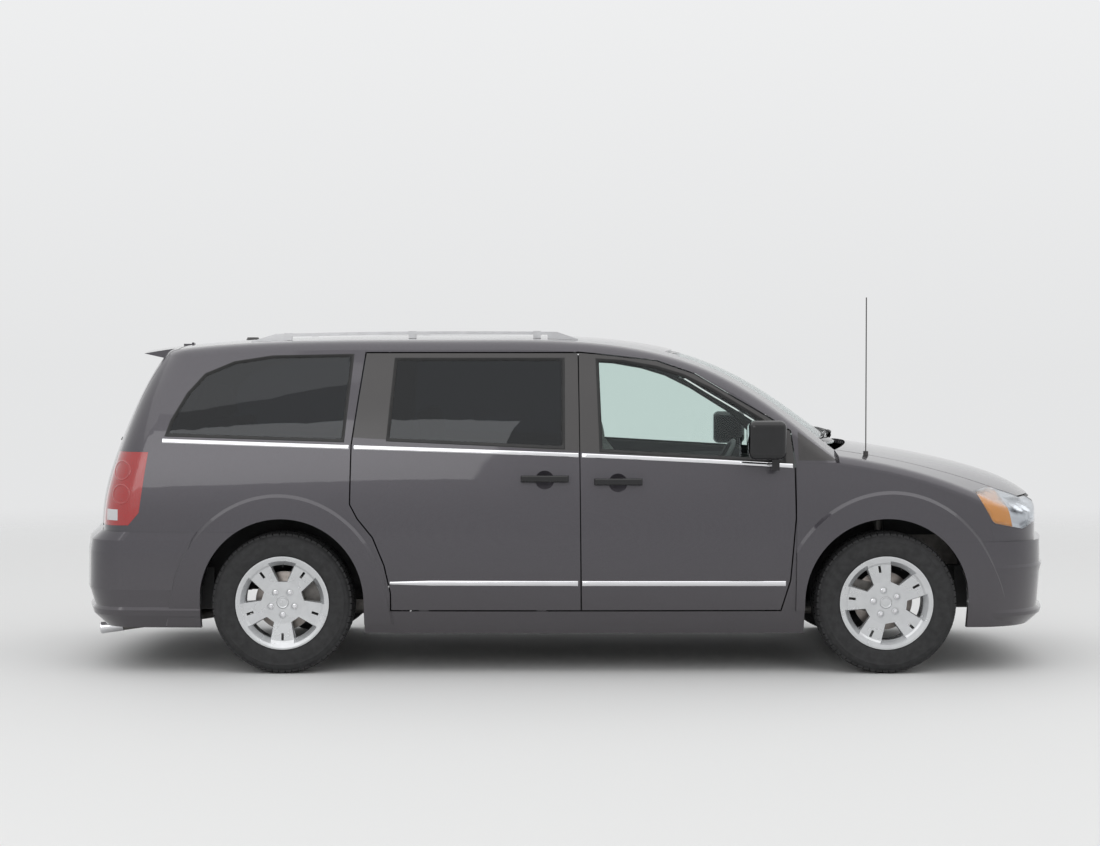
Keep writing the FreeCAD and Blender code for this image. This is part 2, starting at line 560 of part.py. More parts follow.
bores = [Part.makeCylinder(hinge_r + size("bearing_clearance"), hinge_length, V(door_axis.x, door_axis.y, z))
         for z in hinge_heights]
inner_frame = biggest(without(inner_frame.fuse(brackets + jack_pads), *bores))

quarter_glass = pane(right_prism(QUARTER_WINDOW, -fit))
sliding_glass = pane(right_prism(SLIDING_WINDOW, -fit))
door_glass = pane(right_prism(FRONT_WINDOW, -fit))
sail = biggest(cabin_outer.common(right_prism(SAIL_PANEL, -fit)).cut(cabin_flange))
tail_lamp = cabin_outer.common(tail_lamp_cutter.cut(liftgate_room)).cut(door_inner)
tail_lamp = biggest(tail_lamp)

roof_zone = box(roof_rear_x + gap / 2, windshield_top_x + 100, -roof_half, roof_half, belt_z + 300, 2000)
roof_front_zone = box(windshield_top_x - fit, windshield_top_x + 100, -roof_half, roof_half, belt_z + 300, 2000)
roof = cabin_outer.common(roof_zone.cut([windshield_opening, roof_front_zone])).cut(cabin_inner)
liftgate = cabin_outer.common(liftgate_cutter).cut(cabin_inner)
window_reach = roof_rear_x - 60
gate_axis = V(roof_rear_x + 8, 0, roof_z - 48)
gate_pin = hinge_r + 2
SPOILER = [
    (roof_rear_x - gap / 2, roof_z - 128), (roof_rear_x - gap / 2, roof_z + 60), (tail_x + 346, roof_z + 60),
    (tail_x + 346, roof_z - 88), (tail_x + 362, roof_z - 103), (tail_x + 465, roof_z - 126)]
spoiler = crowned(ROOF_STATIONS, 0).common(prism(outline_face(SPOILER, "xz"), -575, 575, "xz"))
gate_parts, roof_cuts = [spoiler], []
for y in (-280, 240):
    gate_parts.append(cylinder_y(gate_axis.x, gate_axis.z, gate_pin, y, y + 40))
    gate_parts.append(box(gate_axis.x - 50, gate_axis.x, y, y + 40, gate_axis.z - 14, gate_axis.z - 1))
    roof_cuts.append(cylinder_y(gate_axis.x, gate_axis.z, gate_pin + size("hinge_clearance"), y - 1, y + 41))
    roof_cuts.append(box(gate_axis.x - 60, gate_axis.x, y - 1, y + 41, gate_axis.z - 60, gate_axis.z + 20))
roof = biggest(roof.cut(roof_cuts))
liftgate = biggest(liftgate.fuse(gate_parts).cut(prism(outline_face(LIFTGATE_WINDOW, "yz"), -2800, window_reach, "yz")))
liftgate_glass = pane(prism(outline_face(LIFTGATE_WINDOW, "yz", -fit), -2800, window_reach, "yz"))

# Rear bumper, in one piece round the tail, with a step for loading on its top.
rear_outer = stacked(REAR_BUMPER_LEVELS, 0, True)
rear_inner = stacked(REAR_BUMPER_INNER, size("bumper_wall"), True)
rear_zone = box(-2700, rear_axle_x, -1200, 1200, 100, rear_bumper_top)
step_zone = box(-2700, tail_x + 150, -1200, 1200, rear_bumper_top - 20, rear_bumper_top)
rear_bumper = rear_outer.common(rear_zone).cut(rear_inner.cut(step_zone))
bumper_wing = flare(rear_axle_x, box(-2700, rear_axle_x - 150, -1200, -500, sill_z - 10, rear_bumper_top))
rear_bumper = rear_bumper.fuse([bumper_wing, mirrored(bumper_wing)])
rear_bumper = biggest(without(rear_bumper, rear_arch, mirrored(rear_arch)))

# Underbody: floor, firewall, rear wheel housings and rear rails.
firewall_x = size("firewall_x")
lining = size("liner_radius")
lining_wall = size("liner_wall")
raised_floor = floor_z + 130
raised_top = raised_floor + size("floor_thickness")
riser_x = rear_axle_x + 500
floor_tail_x = tail_x + 190
firewall = box(firewall_x, firewall_x + 20, -1000, 1000, floor_z, belt_z - 70).fuse(
    box(firewall_x, firewall_x + 20, -850, 850, belt_z - 80, belt_z - 18))


def wheel_housing(axle_x, inner_y, low_z):
    high = axle_z + size("arch_lift")
    reach = lining + lining_wall
    outer = joined(cylinder_y(axle_x, high, reach, -990, -inner_y + lining_wall),
                   box(axle_x - reach, axle_x + reach, -990, -inner_y + lining_wall, floor_z, high))
    return outer.common(box(-2700, 2700, -1000, 1000, low_z, roof_z))


def wheel_space(axle_x, inner_y):
    return arch_void(axle_x, lining, inner_y)


housing = wheel_housing(rear_axle_x, rear_wall, raised_floor)
pan = joined(box(riser_x, door_front_x + 60, -800, 800, floor_z, floor_top),
             box(door_front_x + 60, firewall_x + 20, -1000, 1000, floor_z, floor_top),
             box(riser_x, riser_x + 30, -1000, 1000, floor_z, raised_top),
             box(floor_tail_x, riser_x + 30, -1000, 1000, raised_floor, raised_top), firewall,
             housing, mirrored(housing))
rear_space = wheel_space(rear_axle_x, rear_wall)
front_space = wheel_space(front_axle_x, front_wall_y)
pan = without(pan, rear_space, mirrored(rear_space), arch_void(front_axle_x, lining_reach, front_wall_y),
              mirrored(arch_void(front_axle_x, lining_reach, front_wall_y)))
rear_rails = [box(floor_tail_x, riser_x + 10, y, y + 60, raised_floor - 38, raised_floor + 10) for y in (-480, 420)]
underbody = biggest(inner_side.common(pan).fuse(rear_rails))

# Front structure: wheel housings with their strut towers, and the rails that carry the radiator panel.
kingpin_top = V(front_axle_x, -(size("track_half") - size("kingpin_offset")), axle_z)
lean = math.radians(size("kingpin_lean"))
kingpin_way = V(0, math.sin(lean), math.cos(lean))


def on_kingpin(height):
    return kingpin_top + kingpin_way * (height / math.cos(lean))


def kingpin_rod(low, high, radius):
    start, end = on_kingpin(low), on_kingpin(high)
    return Part.makeCylinder(radius, (end - start).Length, start, kingpin_way)


tower_z = axle_z + 548
strut = size("strut_radius")
tower_y = -front_wall_y + 30
tower = joined(box(front_axle_x - 70, front_axle_x + 70, -700, -front_wall_y + 10, tower_z, tower_z + 14),
               box(front_axle_x - 70, front_axle_x + 70, -front_wall_y, tower_y, axle_z + 100, tower_z + 14))
front_side = body_sides(size("front_wall") + fit)
housing = wheel_housing(front_axle_x, front_wall_y, floor_z).cut(front_space)
housing = housing.cut(box(-2700, firewall_x + 20 + fit, -1000, 1000, 0, 2000))
housing = front_side.common(housing).cut(bumper_room)
hood_bracket = joined(box(hood_axis.x - 16, hood_axis.x + 16, -668, -656, axle_z + 400, hood_axis.z),
                      cylinder_y(hood_axis.x, hood_axis.z, 16, -668, -656))
hood_bore = cylinder_y(hood_axis.x, hood_axis.z, hood_pin + size("bearing_clearance"), -700, -600)
tower_bore = kingpin_rod(300, 600, strut + size("bearing_clearance"))
housing = biggest(housing.fuse([tower, hood_bracket]).cut([tower_bore, hood_bore, front_space]))
rails = [box(firewall_x + 20 + fit, nose_x - 130, y, y + 46, axle_z + 68, axle_z + 148)
         for y in (tower_y + fit, -tower_y - fit - 46)]
radiator_panel = box(nose_x - 200, nose_x - 170, tower_y + 10, -tower_y - 10, sill_z + 60, belt_z - 260)
rails = biggest(rails[0].fuse([rails[1], radiator_panel]))
front_structure = Part.makeCompound([housing, mirrored(housing), rails])
cowl = joined(box(firewall_x + 20 + fit, hood_axis.x + 60, -640, 640, belt_z - 68, belt_z - 58),
              box(firewall_x + 20 + fit, firewall_x + 36, -640, 640, belt_z - 68, belt_z + 6))


# Wheels.
def turned(profile, centre):
    """A closed profile of (radius, distance outwards) rows turned about the wheel's own axis."""
    points = [V(centre[0], centre[1] - out, centre[2] + radius) for radius, out in profile]
    face = Part.Face(Part.makePolygon(points + points[:1]))
    return face.revolve(V(*centre), V(0, -1, 0), 360)


half_tyre = size("tyre_width") / 2
bead = size("tyre_bead_radius")
lip = size("rim_lip_radius")
TYRE = [(bead, -88), (bead + 22, -99), (300, -half_tyre), (axle_z - 20, -104), (axle_z, -76),
        (axle_z, 76), (axle_z - 20, 104), (300, half_tyre), (bead + 22, 99), (bead, 88)]
spindle = size("spindle_radius")
hub_bore = spindle + size("bearing_clearance")
disc = size("disc_radius")
cap = 31
# The rim, its face, the hub and the brake disc in one section, from the inner lip round to the bore.
RIM = [(bead - fit, -88.5), (lip, -98), (lip, -104), (bead - 8, -104), (bead - 14, -84), (204, -60), (198, 52),
       (150, 60), (82, 54), (82, -17), (disc, -17), (disc, -42), (hub_bore, -42), (hub_bore, 48), (0, 48), (0, 66),
       (cap, 66), (cap, 80), (108, 82), (196, 92), (206, 99), (lip - 8, 104), (lip, 104), (lip, 98), (bead - fit, 88.5),
       (212, 60), (206, 20), (206, -30), (213, -60)]


def wheel_window(radius_low, radius_high, half_low, half_high, out):
    """Outline of the opening between two spokes, at one distance out from the wheel's middle."""
    rise = math.sqrt(radius_high ** 2 - half_high ** 2)
    corners = [V(radius_low, -half_low, out), V(rise, -half_high, out), V(rise, half_high, out), V(radius_low, half_low, out)]
    edges = [Part.makeLine(corners[0], corners[1]), Part.Arc(corners[1], V(radius_high, 0, out), corners[2]).toShape(),
             Part.makeLine(corners[2], corners[3]), Part.makeLine(corners[3], corners[0])]
    return Part.Wire(edges)


window_cut = Part.makeLoft([wheel_window(108, 192, 21, 54, 40), wheel_window(108, 192, 21, 54, 72),
                            wheel_window(102, 222, 30, 78, 110)], True, True)
slot_half = size("spoke_slot_width") / 2


def wheel(centre, first_angle):
    """Tyre, and rim with five windows, five slots and five lug pockets."""
    cutters = []
    for k in range(5):
        spoke = first_angle + 72 * k
        lug = Part.makeCylinder(size("lug_hole_radius"), 90, V(size("lug_circle_radius"), 0, 30))
        pocket = Part.makeCylinder(size("lug_pocket_radius"), 40, V(size("lug_circle_radius"), 0, 70))
        slot = box(156, 192, -slot_half, slot_half, 30, 130)
        for cutter, angle in ((window_cut.copy(), spoke + 36), (slot, spoke), (lug, spoke), (pocket, spoke)):
            cutter.rotate(V(0, 0, 0), V(0, 0, 1), angle)
            cutter.rotate(V(0, 0, 0), V(1, 0, 0), 90)
            cutter.translate(V(*centre))
            cutters.append(cutter)
    return turned(TYRE, centre), biggest(turned(RIM, centre).cut(cutters))


front_centre = (front_axle_x, -size("track_half"), axle_z)
rear_centre = (rear_axle_x, -size("track_half"), axle_z)
tyre_front, rim_front = wheel(front_centre, 29)
tyre_rear, rim_rear = wheel(rear_centre, 54)


# Steered parts: strut and upright in one, with the spindle and the brake caliper.
def caliper(centre, middle_angle):
    block = turned([(92, -70), (188, -70), (188, 6), (92, 6)], centre)
    wedge = outline_face([(60, -75), (300, -75), (300, 75), (60, 75)], "xz")
    wedge.rotate(V(0, 0, 0), V(0, -1, 0), middle_angle)
    wedge.translate(V(centre[0], 0, centre[2]))
    room = turned([(0, -48), (disc + 6, -48), (disc + 6, -11), (0, -11)], centre)
    return block.common(prism(wedge, -1000, -600, "xz")).cut(room)


def carrier(centre):
    """Spindle and round flange behind the brake disc."""
    return turned([(0, -100), (60, -100), (60, -48), (spindle + 12, -48), (spindle, -44), (spindle, 46), (0, 46)], centre)


def bracket(centre, middle_angle):
    plate = turned([(40, -82), (150, -82), (150, -60), (40, -60)], centre)
    wedge = outline_face([(0, -34), (300, -34), (300, 34), (0, 34)], "xz")
    wedge.rotate(V(0, 0, 0), V(0, -1, 0), middle_angle)
    wedge.translate(V(centre[0], 0, centre[2]))
    return plate.common(prism(wedge, -1000, -600, "xz"))


upright = kingpin_rod(-150, 130, 17).fuse([kingpin_rod(90, 562, strut), carrier(front_centre),
                                           caliper(front_centre, 165), bracket(front_centre, 165)])
upright = biggest(upright)
arm_bore = kingpin_rod(-200, 0, 17 + size("bearing_clearance"))
arm = joined(box(front_axle_x - 32, front_axle_x + 32, -745, -360, axle_z - 145, axle_z - 118),
             box(front_axle_x - 160, front_axle_x + 32, -420, -360, axle_z - 145, axle_z - 118)).cut(arm_bore)
cross_member = box(front_axle_x - 190, front_axle_x + 60, -400, 400, axle_z - 148, axle_z - 98)
leg = box(front_axle_x - 190, front_axle_x - 130, tower_y + fit, tower_y + 50, axle_z - 148, axle_z + 68 - fit)
front_subframe = biggest(cross_member.fuse([arm, mirrored(arm), leg, mirrored(leg)]))

beam = rod((rear_axle_x, -640, axle_z - 30), (rear_axle_x, 640, axle_z - 30), 42)
trailing = box(rear_axle_x - 50, riser_x - 30, -570, -510, axle_z - 70, axle_z - 20)
hanger = box(riser_x - 90, riser_x - 30, -570, -510, axle_z - 70, raised_floor - fit)
springs = rod((rear_axle_x, -540, axle_z), (rear_axle_x, -540, raised_floor - fit), 45)
end_plate = box(rear_axle_x - 60, rear_axle_x + 60, -740, -620, axle_z - 60, axle_z + 45)
rear_side = end_plate.fuse([trailing, hanger, springs, carrier(rear_centre), caliper(rear_centre, 15), bracket(rear_centre, 15)])
rear_axle = biggest(beam.fuse([rear_side, mirrored(rear_side)]))


# Cabin fittings.
def seat(x, y, width):
    cushion = box(x, x + size("seat_depth"), y - width / 2, y + width / 2, floor_top + 200, floor_top + 350)
    base = box(x + 60, x + 420, y - width / 2 + 60, y + width / 2 - 60, floor_top + fit, floor_top + 205)
    back = box(x - 60, x + 60, y - width / 2, y + width / 2, floor_top + 250, floor_top + 250 + size("seat_back_height"))
    back.rotate(V(x, y, floor_top + 250), V(0, 1, 0), -14)
    rest = box(x - 50, x + 40, y - 130, y + 130, floor_top + 850, floor_top + 1050)
    rest.rotate(V(x, y, floor_top + 250), V(0, 1, 0), -14)
    return joined(cushion, base, back, rest)


seat_width = size("seat_width")
front_seats = both_sides(seat(330, -390, seat_width))
middle_seats = both_sides(seat(-560, -390, seat_width))
bench = seat(-1700, 0, 1120)
bench.translate(V(0, 0, raised_floor - floor_z))
DASH = [(1010, 740), (1010, 950), (1060, 985), (1180, 1020), (firewall_x - fit, 1085), (firewall_x - fit, 740)]
dashboard = prism(outline_face(DASH, "xz"), -790, 790, "xz")
binnacle = prism(outline_face([(1030, 940), (1010, 1000), (1040, 1040), (1150, 1045), (1200, 1000)], "xz"), 230, 560, "xz")
console = box(860, 1020, -120, 120, floor_top + fit, 800)
dashboard = biggest(joined(dashboard, binnacle, console, box(1000, firewall_x - fit, -110, 110, floor_top + fit, 760)))
driver_y = 390
wheel_centre = V(880, driver_y, 985)
column_way = V(0.87, 0, -0.5)
column_way.normalize()
ring_radius, ring_thick = 178, 14
ring_corners = [V(ring_radius + ring_thick * math.cos(math.radians(45 * k)), 0, ring_thick * math.sin(math.radians(45 * k)))
                for k in range(8)]
rim_ring = Part.Face(Part.makePolygon(ring_corners + ring_corners[:1])).revolve(V(0, 0, 0), V(0, 0, 1), 360)
rim_ring.Placement = FreeCAD.Placement(wheel_centre, FreeCAD.Rotation(V(0, 0, 1), column_way))
column = Part.makeCylinder(22, 250, wheel_centre, column_way)
cross_spoke = box(wheel_centre.x - 8, wheel_centre.x + 8, driver_y - 176, driver_y + 176, wheel_centre.z - 22, wheel_centre.z + 22)
cross_spoke.rotate(wheel_centre, V(0, 1, 0), 30)
steering_wheel = biggest(rim_ring.fuse([column, cross_spoke]).cut(dashboard))

# Engine, tank, exhaust.
engine = box(front_axle_x - 130, front_axle_x + 470, -380, 380, axle_z + 20, axle_z + 520)
rail_inner_y = tower_y + fit + 46
mount = box(front_axle_x + 100, front_axle_x + 180, rail_inner_y + fit, -370, axle_z + 80, axle_z + 140)
engine = biggest(engine.fuse([mount, mirrored(mount)]))
fuel_tank = box(-700, 100, 120, 640, floor_z - 105, floor_z - fit)
fuel_tank = fuel_tank.makeFillet(25, [e for e in fuel_tank.Edges if abs(e.CenterOfMass.z - floor_z) > 20])
pipe = size("pipe_radius")
pipe_y = -250
pipe_z = floor_z - pipe - 8
tip_y = -600
tip_end_x = tail_x + 135
tip_z = sill_z - 58
exhaust = joined(rod((front_axle_x - 300, pipe_y, pipe_z), (-1750, pipe_y, pipe_z), pipe),
                 Part.makeSphere(pipe, V(-1750, pipe_y, pipe_z)), rod((-1750, pipe_y, pipe_z), (-1980, tip_y, pipe_z), pipe),
                 Part.makeSphere(pipe, V(-1980, tip_y, pipe_z)), rod((-1980, tip_y, pipe_z), (tip_end_x, tip_y, tip_z), pipe),
                 box(-650, -150, pipe_y - 110, pipe_y + 110, floor_z - 130, floor_z - fit))
tip_way = V(tip_end_x + 1980, 0, tip_z - pipe_z)
tip_way.normalize()
exhaust = exhaust.cut(Part.makeCylinder(pipe - 4, 140, V(tip_end_x, tip_y, tip_z) - tip_way * 110, tip_way))


# Outside fittings.
def height_at(envelope, x, y):
    probe = Part.makeLine(V(x, y, 700), V(x, y, 2200)).common(envelope)
    return max(v.Z for v in probe.Vertexes)


over_cabin = cabin_envelope(-fit, -fit, size("roof_edge_fillet"))
rail_y = -612
rail_x0, rail_x1 = tail_x + 932, b_seam_x - 5
rail_middle_x = (rail_x0 + rail_x1) / 2


def along_rail(x, lift):
    return (x, height_at(cabin_outer, x, rail_y) + lift)


rail_top, rail_under = size("rail_height"), size("rail_height") - size("rail_depth")
rail_outline = [
    (rail_x0, roof_z - 200), (rail_x1, roof_z - 200), along_rail(rail_x1, 3), along_rail(rail_x1 - 110, rail_top),
    along_rail(rail_middle_x, rail_top) + along_rail(rail_x0 + 130, rail_top), along_rail(rail_x0, 3)]
under_outline = [
    (rail_x0 + 190, roof_z - 220), (rail_x1 - 160, roof_z - 220), along_rail(rail_x1 - 160, rail_under),
    along_rail(rail_middle_x, rail_under) + along_rail(rail_x0 + 190, rail_under)]
roof_rail = prism(outline_face(rail_outline, "xz"), rail_y - 15, rail_y + 15, "xz")
roof_rail = roof_rail.cut(prism(outline_face(under_outline, "xz"), rail_y - 30, rail_y + 30, "xz"))
roof_rail = biggest(roof_rail.cut(over_cabin))
rail_seats = [box(x - 20, x + 20, rail_y - 15, rail_y + 15, height_at(cabin_outer, x, rail_y), along_rail(x, rail_top + 2)[1])
              for x in (-150, -800, -1450)]
roof_rail = biggest(roof_rail.fuse(rail_seats).cut(over_cabin))
aerial_x, aerial_y = front_axle_x - 82, -750
over_front = front_envelope(-fit, -fit, size("hood_edge_fillet"))
aerial_z = height_at(front_outer, aerial_x, aerial_y)
antenna = rod((aerial_x, aerial_y, aerial_z - 10), (aerial_x, aerial_y, aerial_z + size("antenna_length")), 3)
antenna = biggest(antenna.fuse(rod((aerial_x, aerial_y, aerial_z - 20), (aerial_x, aerial_y, aerial_z + 22), 13)).cut(over_front))
puck_x = tail_x + 850
puck_z = height_at(cabin_outer, puck_x, 0)
puck = biggest(Part.makeCone(42, 30, 22, V(puck_x, 0, puck_z - 8)).cut(over_cabin))
mirror_x0, mirror_x1 = door_front_x - 257, door_front_x - 68
mirror_foot = box(mirror_x1 - 65, mirror_x1 - 27, -1050, -900, belt_z - 84, belt_z - 4)
mirror_shell = box(mirror_x0, mirror_x1, -1145, -1030, belt_z - 26, belt_z + 168)
mirror_shell = mirror_shell.makeFillet(34, mirror_shell.Edges)
mirror = biggest(mirror_foot.fuse(mirror_shell).cut(over_cabin))


def handle(middle_x, z):
    bar = box(middle_x - 121, middle_x + 121, -half_width - 38, -half_width - 18, z, z + 34)
    bar = bar.makeFillet(9, [e for e in bar.Edges if e.BoundBox.YMax < -half_width - 30])
    feet = [box(middle_x + x, middle_x + x + 34, -half_width - 30, -half_width + 60, z + 4, z + 30) for x in (-115, 81)]
    return biggest(joined(bar, *feet).cut(body_sides(-fit)))


front_handle = handle(front_handle_x, front_handle_z)
sliding_handle = handle(sliding_handle_x, sliding_handle_z)
fuel_x, fuel_z = tail_x + 640, belt_z - 130
fuel_outline = [(fuel_x - 85, fuel_z - 85), (fuel_x + 85, fuel_z - 85), (fuel_x + 85, fuel_z + 85), (fuel_x - 85, fuel_z + 85)]
fuel_reach = (half_width - 250, half_width + 100)
fuel_door = cabin_outer.common(prism(outline_face(fuel_outline, "xz"), *fuel_reach, "xz")).cut(cabin_flange)
fuel_axis = V(fuel_x + 85 + gap / 2, half_width - size("fuel_axis_depth"), 0)
fuel_pin = gap / 2 - fit
fuel_lean = math.radians(size("fuel_axis_lean"))
fuel_way = V(0, -math.sin(fuel_lean), math.cos(fuel_lean))
fuel_knuckle = Part.makeCylinder(fuel_pin, 30, V(fuel_axis.x, fuel_axis.y, fuel_z) - fuel_way * 15, fuel_way)
fuel_web = box(fuel_axis.x - 12, fuel_axis.x, fuel_axis.y - 4, fuel_axis.y, fuel_z - 15, fuel_z + 15)
fuel_door = biggest(biggest(fuel_door).fuse([fuel_knuckle, fuel_web]))
fuel_recess = prism(outline_face(fuel_outline, "xz", gap), *fuel_reach, "xz").cut(door_inner)
body_left = biggest(mirrored(body_side).cut(fuel_recess))

# Named objects.
add("underbody", underbody)
add("front_structure", front_structure)
add("inner_frames", both_sides(inner_frame))
add("body_side_right", body_side)
add("body_side_left", body_left)
add("roof", roof)
add("fenders", both_sides(fender))
add("front_bumper", front_bumper)
add("rear_bumper", rear_bumper)
add("grille", grille)
add("cowl", cowl)
add("headlamps", both_sides(headlamp))
add("tail_lamps", both_sides(tail_lamp))
add("windshield", windshield)
add("side_glass", Part.makeCompound([quarter_glass, sliding_glass, mirrored(quarter_glass), mirrored(sliding_glass)]))
add("sails", both_sides(sail))
add("sliding_doors", both_sides(sliding_door))
add("sliding_handles", both_sides(sliding_handle))
add("roof_rails", both_sides(roof_rail))
add("engine", engine)
add("dashboard", dashboard)
add("steering_wheel", steering_wheel)
add("front_seats", front_seats)
add("middle_seats", middle_seats)
add("bench", bench)
add("rear_axle", rear_axle)
add("front_subframe", front_subframe)
add("exhaust", exhaust)
add("fuel_tank", fuel_tank)
add("antenna", Part.makeCompound([antenna, puck]))
add("hood", hood)
add("liftgate", liftgate)
add("liftgate_glass", liftgate_glass)
add("fuel_door", fuel_door)
for side, place in (("right", lambda shape: shape), ("left", mirrored)):
    add(f"front_door_{side}", place(front_door))
    add(f"door_glass_{side}", place(door_glass))
    add(f"door_handle_{side}", place(front_handle))
    add(f"mirror_{side}", place(mirror))
    add(f"upright_{side}", place(upright))
    add(f"tyre_front_{side}", place(tyre_front))
    add(f"rim_front_{side}", place(rim_front))
    add(f"tyre_rear_{side}", place(tyre_rear))
    add(f"rim_rear_{side}", place(rim_rear))

# Checks and export.
doc.recompute()
os.makedirs("parts", exist_ok=True)
for feature in doc.Objects:
    bad = [state for state in feature.State if state in ("Invalid", "Error")]
    if bad:
        raise RuntimeError(f"{feature.Name} reports {bad}")
for label, feature in nodes.items():
    shape = feature.Shape
    if shape.isNull() or not shape.isValid() or not shape.Solids:
        raise RuntimeError(f"{label} has no valid solid")
    if feature.Label != label or feature.Placement is None:
        raise RuntimeError(f"{label} is not named and placed")
    print(label, len(shape.Solids), round(shape.Volume / 1000))
for label, feature in nodes.items():
    feature.Shape.exportStep(f"parts/{label}.step")
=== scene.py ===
import json
import math

import bmesh
import bpy
import numpy
from mathutils import Matrix, Vector
from mathutils.bvhtree import BVHTree


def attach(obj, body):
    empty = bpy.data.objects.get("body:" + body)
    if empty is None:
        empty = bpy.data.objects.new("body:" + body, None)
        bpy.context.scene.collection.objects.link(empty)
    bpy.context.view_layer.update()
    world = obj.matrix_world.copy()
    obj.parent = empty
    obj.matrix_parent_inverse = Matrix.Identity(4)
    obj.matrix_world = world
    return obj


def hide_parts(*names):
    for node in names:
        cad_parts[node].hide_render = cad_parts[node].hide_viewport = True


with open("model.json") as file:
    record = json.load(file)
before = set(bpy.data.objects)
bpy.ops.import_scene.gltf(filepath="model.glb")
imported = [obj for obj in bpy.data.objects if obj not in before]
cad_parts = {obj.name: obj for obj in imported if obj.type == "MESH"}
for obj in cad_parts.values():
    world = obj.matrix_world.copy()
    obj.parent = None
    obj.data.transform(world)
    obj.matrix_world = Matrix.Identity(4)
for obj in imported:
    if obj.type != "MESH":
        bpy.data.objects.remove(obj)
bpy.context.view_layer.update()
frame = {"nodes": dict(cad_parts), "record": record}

print("stage: frame loaded")
scene = bpy.context.scene
collection = scene.collection
sides = {"right": -1, "left": 1}


# Nodes: an input that is given a socket gets linked, any other value is set
def nodeIn(tree, kind, inputs=None, **settings):
    node = tree.nodes.new(kind)
    for key, value in settings.items():
        setattr(node, key, value)
    for key, value in (inputs or {}).items():
        socket = node.inputs[key]
        if isinstance(value, bpy.types.NodeSocket):
            tree.links.new(value, socket)
        else:
            socket.default_value = tuple(value) + (1.0,) if socket.type == "RGBA" else value
    return node


def outOf(tree, kind, inputs=None, **settings):
    return nodeIn(tree, kind, inputs, **settings).outputs[0]


def mathOf(tree, operation, *values, **settings):
    return outOf(tree, "ShaderNodeMath", dict(enumerate(values)), operation=operation, **settings)


def noiseOf(tree, place, scale, detail):
    return outOf(tree, "ShaderNodeTexNoise", {"Vector": place, "Scale": scale, "Detail": detail})


def waveOf(tree, place, scale, direction, distortion=0.0):
    values = {"Vector": place, "Scale": scale, "Distortion": distortion}
    return nodeIn(tree, "ShaderNodeTexWave", values, bands_direction=direction).outputs["Fac"]


def bumpOf(tree, height, strength, distance):
    return outOf(tree, "ShaderNodeBump", {"Height": height, "Strength": strength, "Distance": distance})


def rampOf(tree, factor, stops):
    ramp = nodeIn(tree, "ShaderNodeValToRGB", {"Fac": factor})
    elements = ramp.color_ramp.elements
    while len(elements) < len(stops):
        elements.new(0.5)
    for element, (position, colour) in zip(elements, stops):
        element.position = position
        element.color = tuple(colour) + (1.0,)
    return ramp.outputs["Color"]


# a colour between a darker and a lighter shade of it
def shadedOf(tree, factor, colour, dark, light, start=0.3, stop=0.7):
    stops = [(start, [c * dark for c in colour]), (stop, [min(1.0, c * light) for c in colour])]
    return rampOf(tree, factor, stops)


def principledOf(tree, values):
    return outOf(tree, "ShaderNodeBsdfPrincipled", values)


def blendOf(tree, factor, first, second):
    return outOf(tree, "ShaderNodeMixShader", {"Fac": factor, 1: first, 2: second})


def newMaterial(name):
    material = bpy.data.materials.new(name)
    material.use_nodes = True
    tree = material.node_tree
    tree.nodes.clear()
    return material, tree, nodeIn(tree, "ShaderNodeTexCoord").outputs["Object"]


def finished(material, surface):
    nodeIn(material.node_tree, "ShaderNodeOutputMaterial", {"Surface": surface})
    return material


# Materials: colour drifts a little, roughness breaks up, grain stands out by a small bump
roughnessDrift = 0.08


def speckled(name, colour, drift, scale, bump, bumpScale, roughness, metallic=0.0):
    material, tree, place = newMaterial(name)
    smear = noiseOf(tree, place, scale * 0.3, 5.0)
    gloss = outOf(tree, "ShaderNodeMapRange", {
        "Value": smear, "To Min": max(0.01, roughness * (1 - roughnessDrift)),
        "To Max": min(1.0, roughness * (1 + roughnessDrift))})
    return finished(material, principledOf(tree, {
        "Base Color": shadedOf(tree, noiseOf(tree, place, scale, 4.0), colour, 1 - drift, 1 + drift),
        "Metallic": metallic, "Roughness": gloss,
        "Normal": bumpOf(tree, noiseOf(tree, place, bumpScale, 2.0), bump, 0.001)}))


# flakes under a clear coat, a paler warm grey blended in low down that thins out higher up, and satin trim on the door
# frames above a sloping line
paintLook = {"dark": (0.036, 0.033, 0.040), "light": (0.082, 0.076, 0.089), "flakes": 1400.0,
    "paleLowColour": (0.15, 0.135, 0.125), "paleFullBelow": 0.24, "paleGoneAbove": 0.62, "paleMost": 0.14,
    "peelScale": 220.0, "peel": 0.03, "trim": (0.050, 0.047, 0.047), "trimSlope": 0.0615, "trimLevel": 1.139}


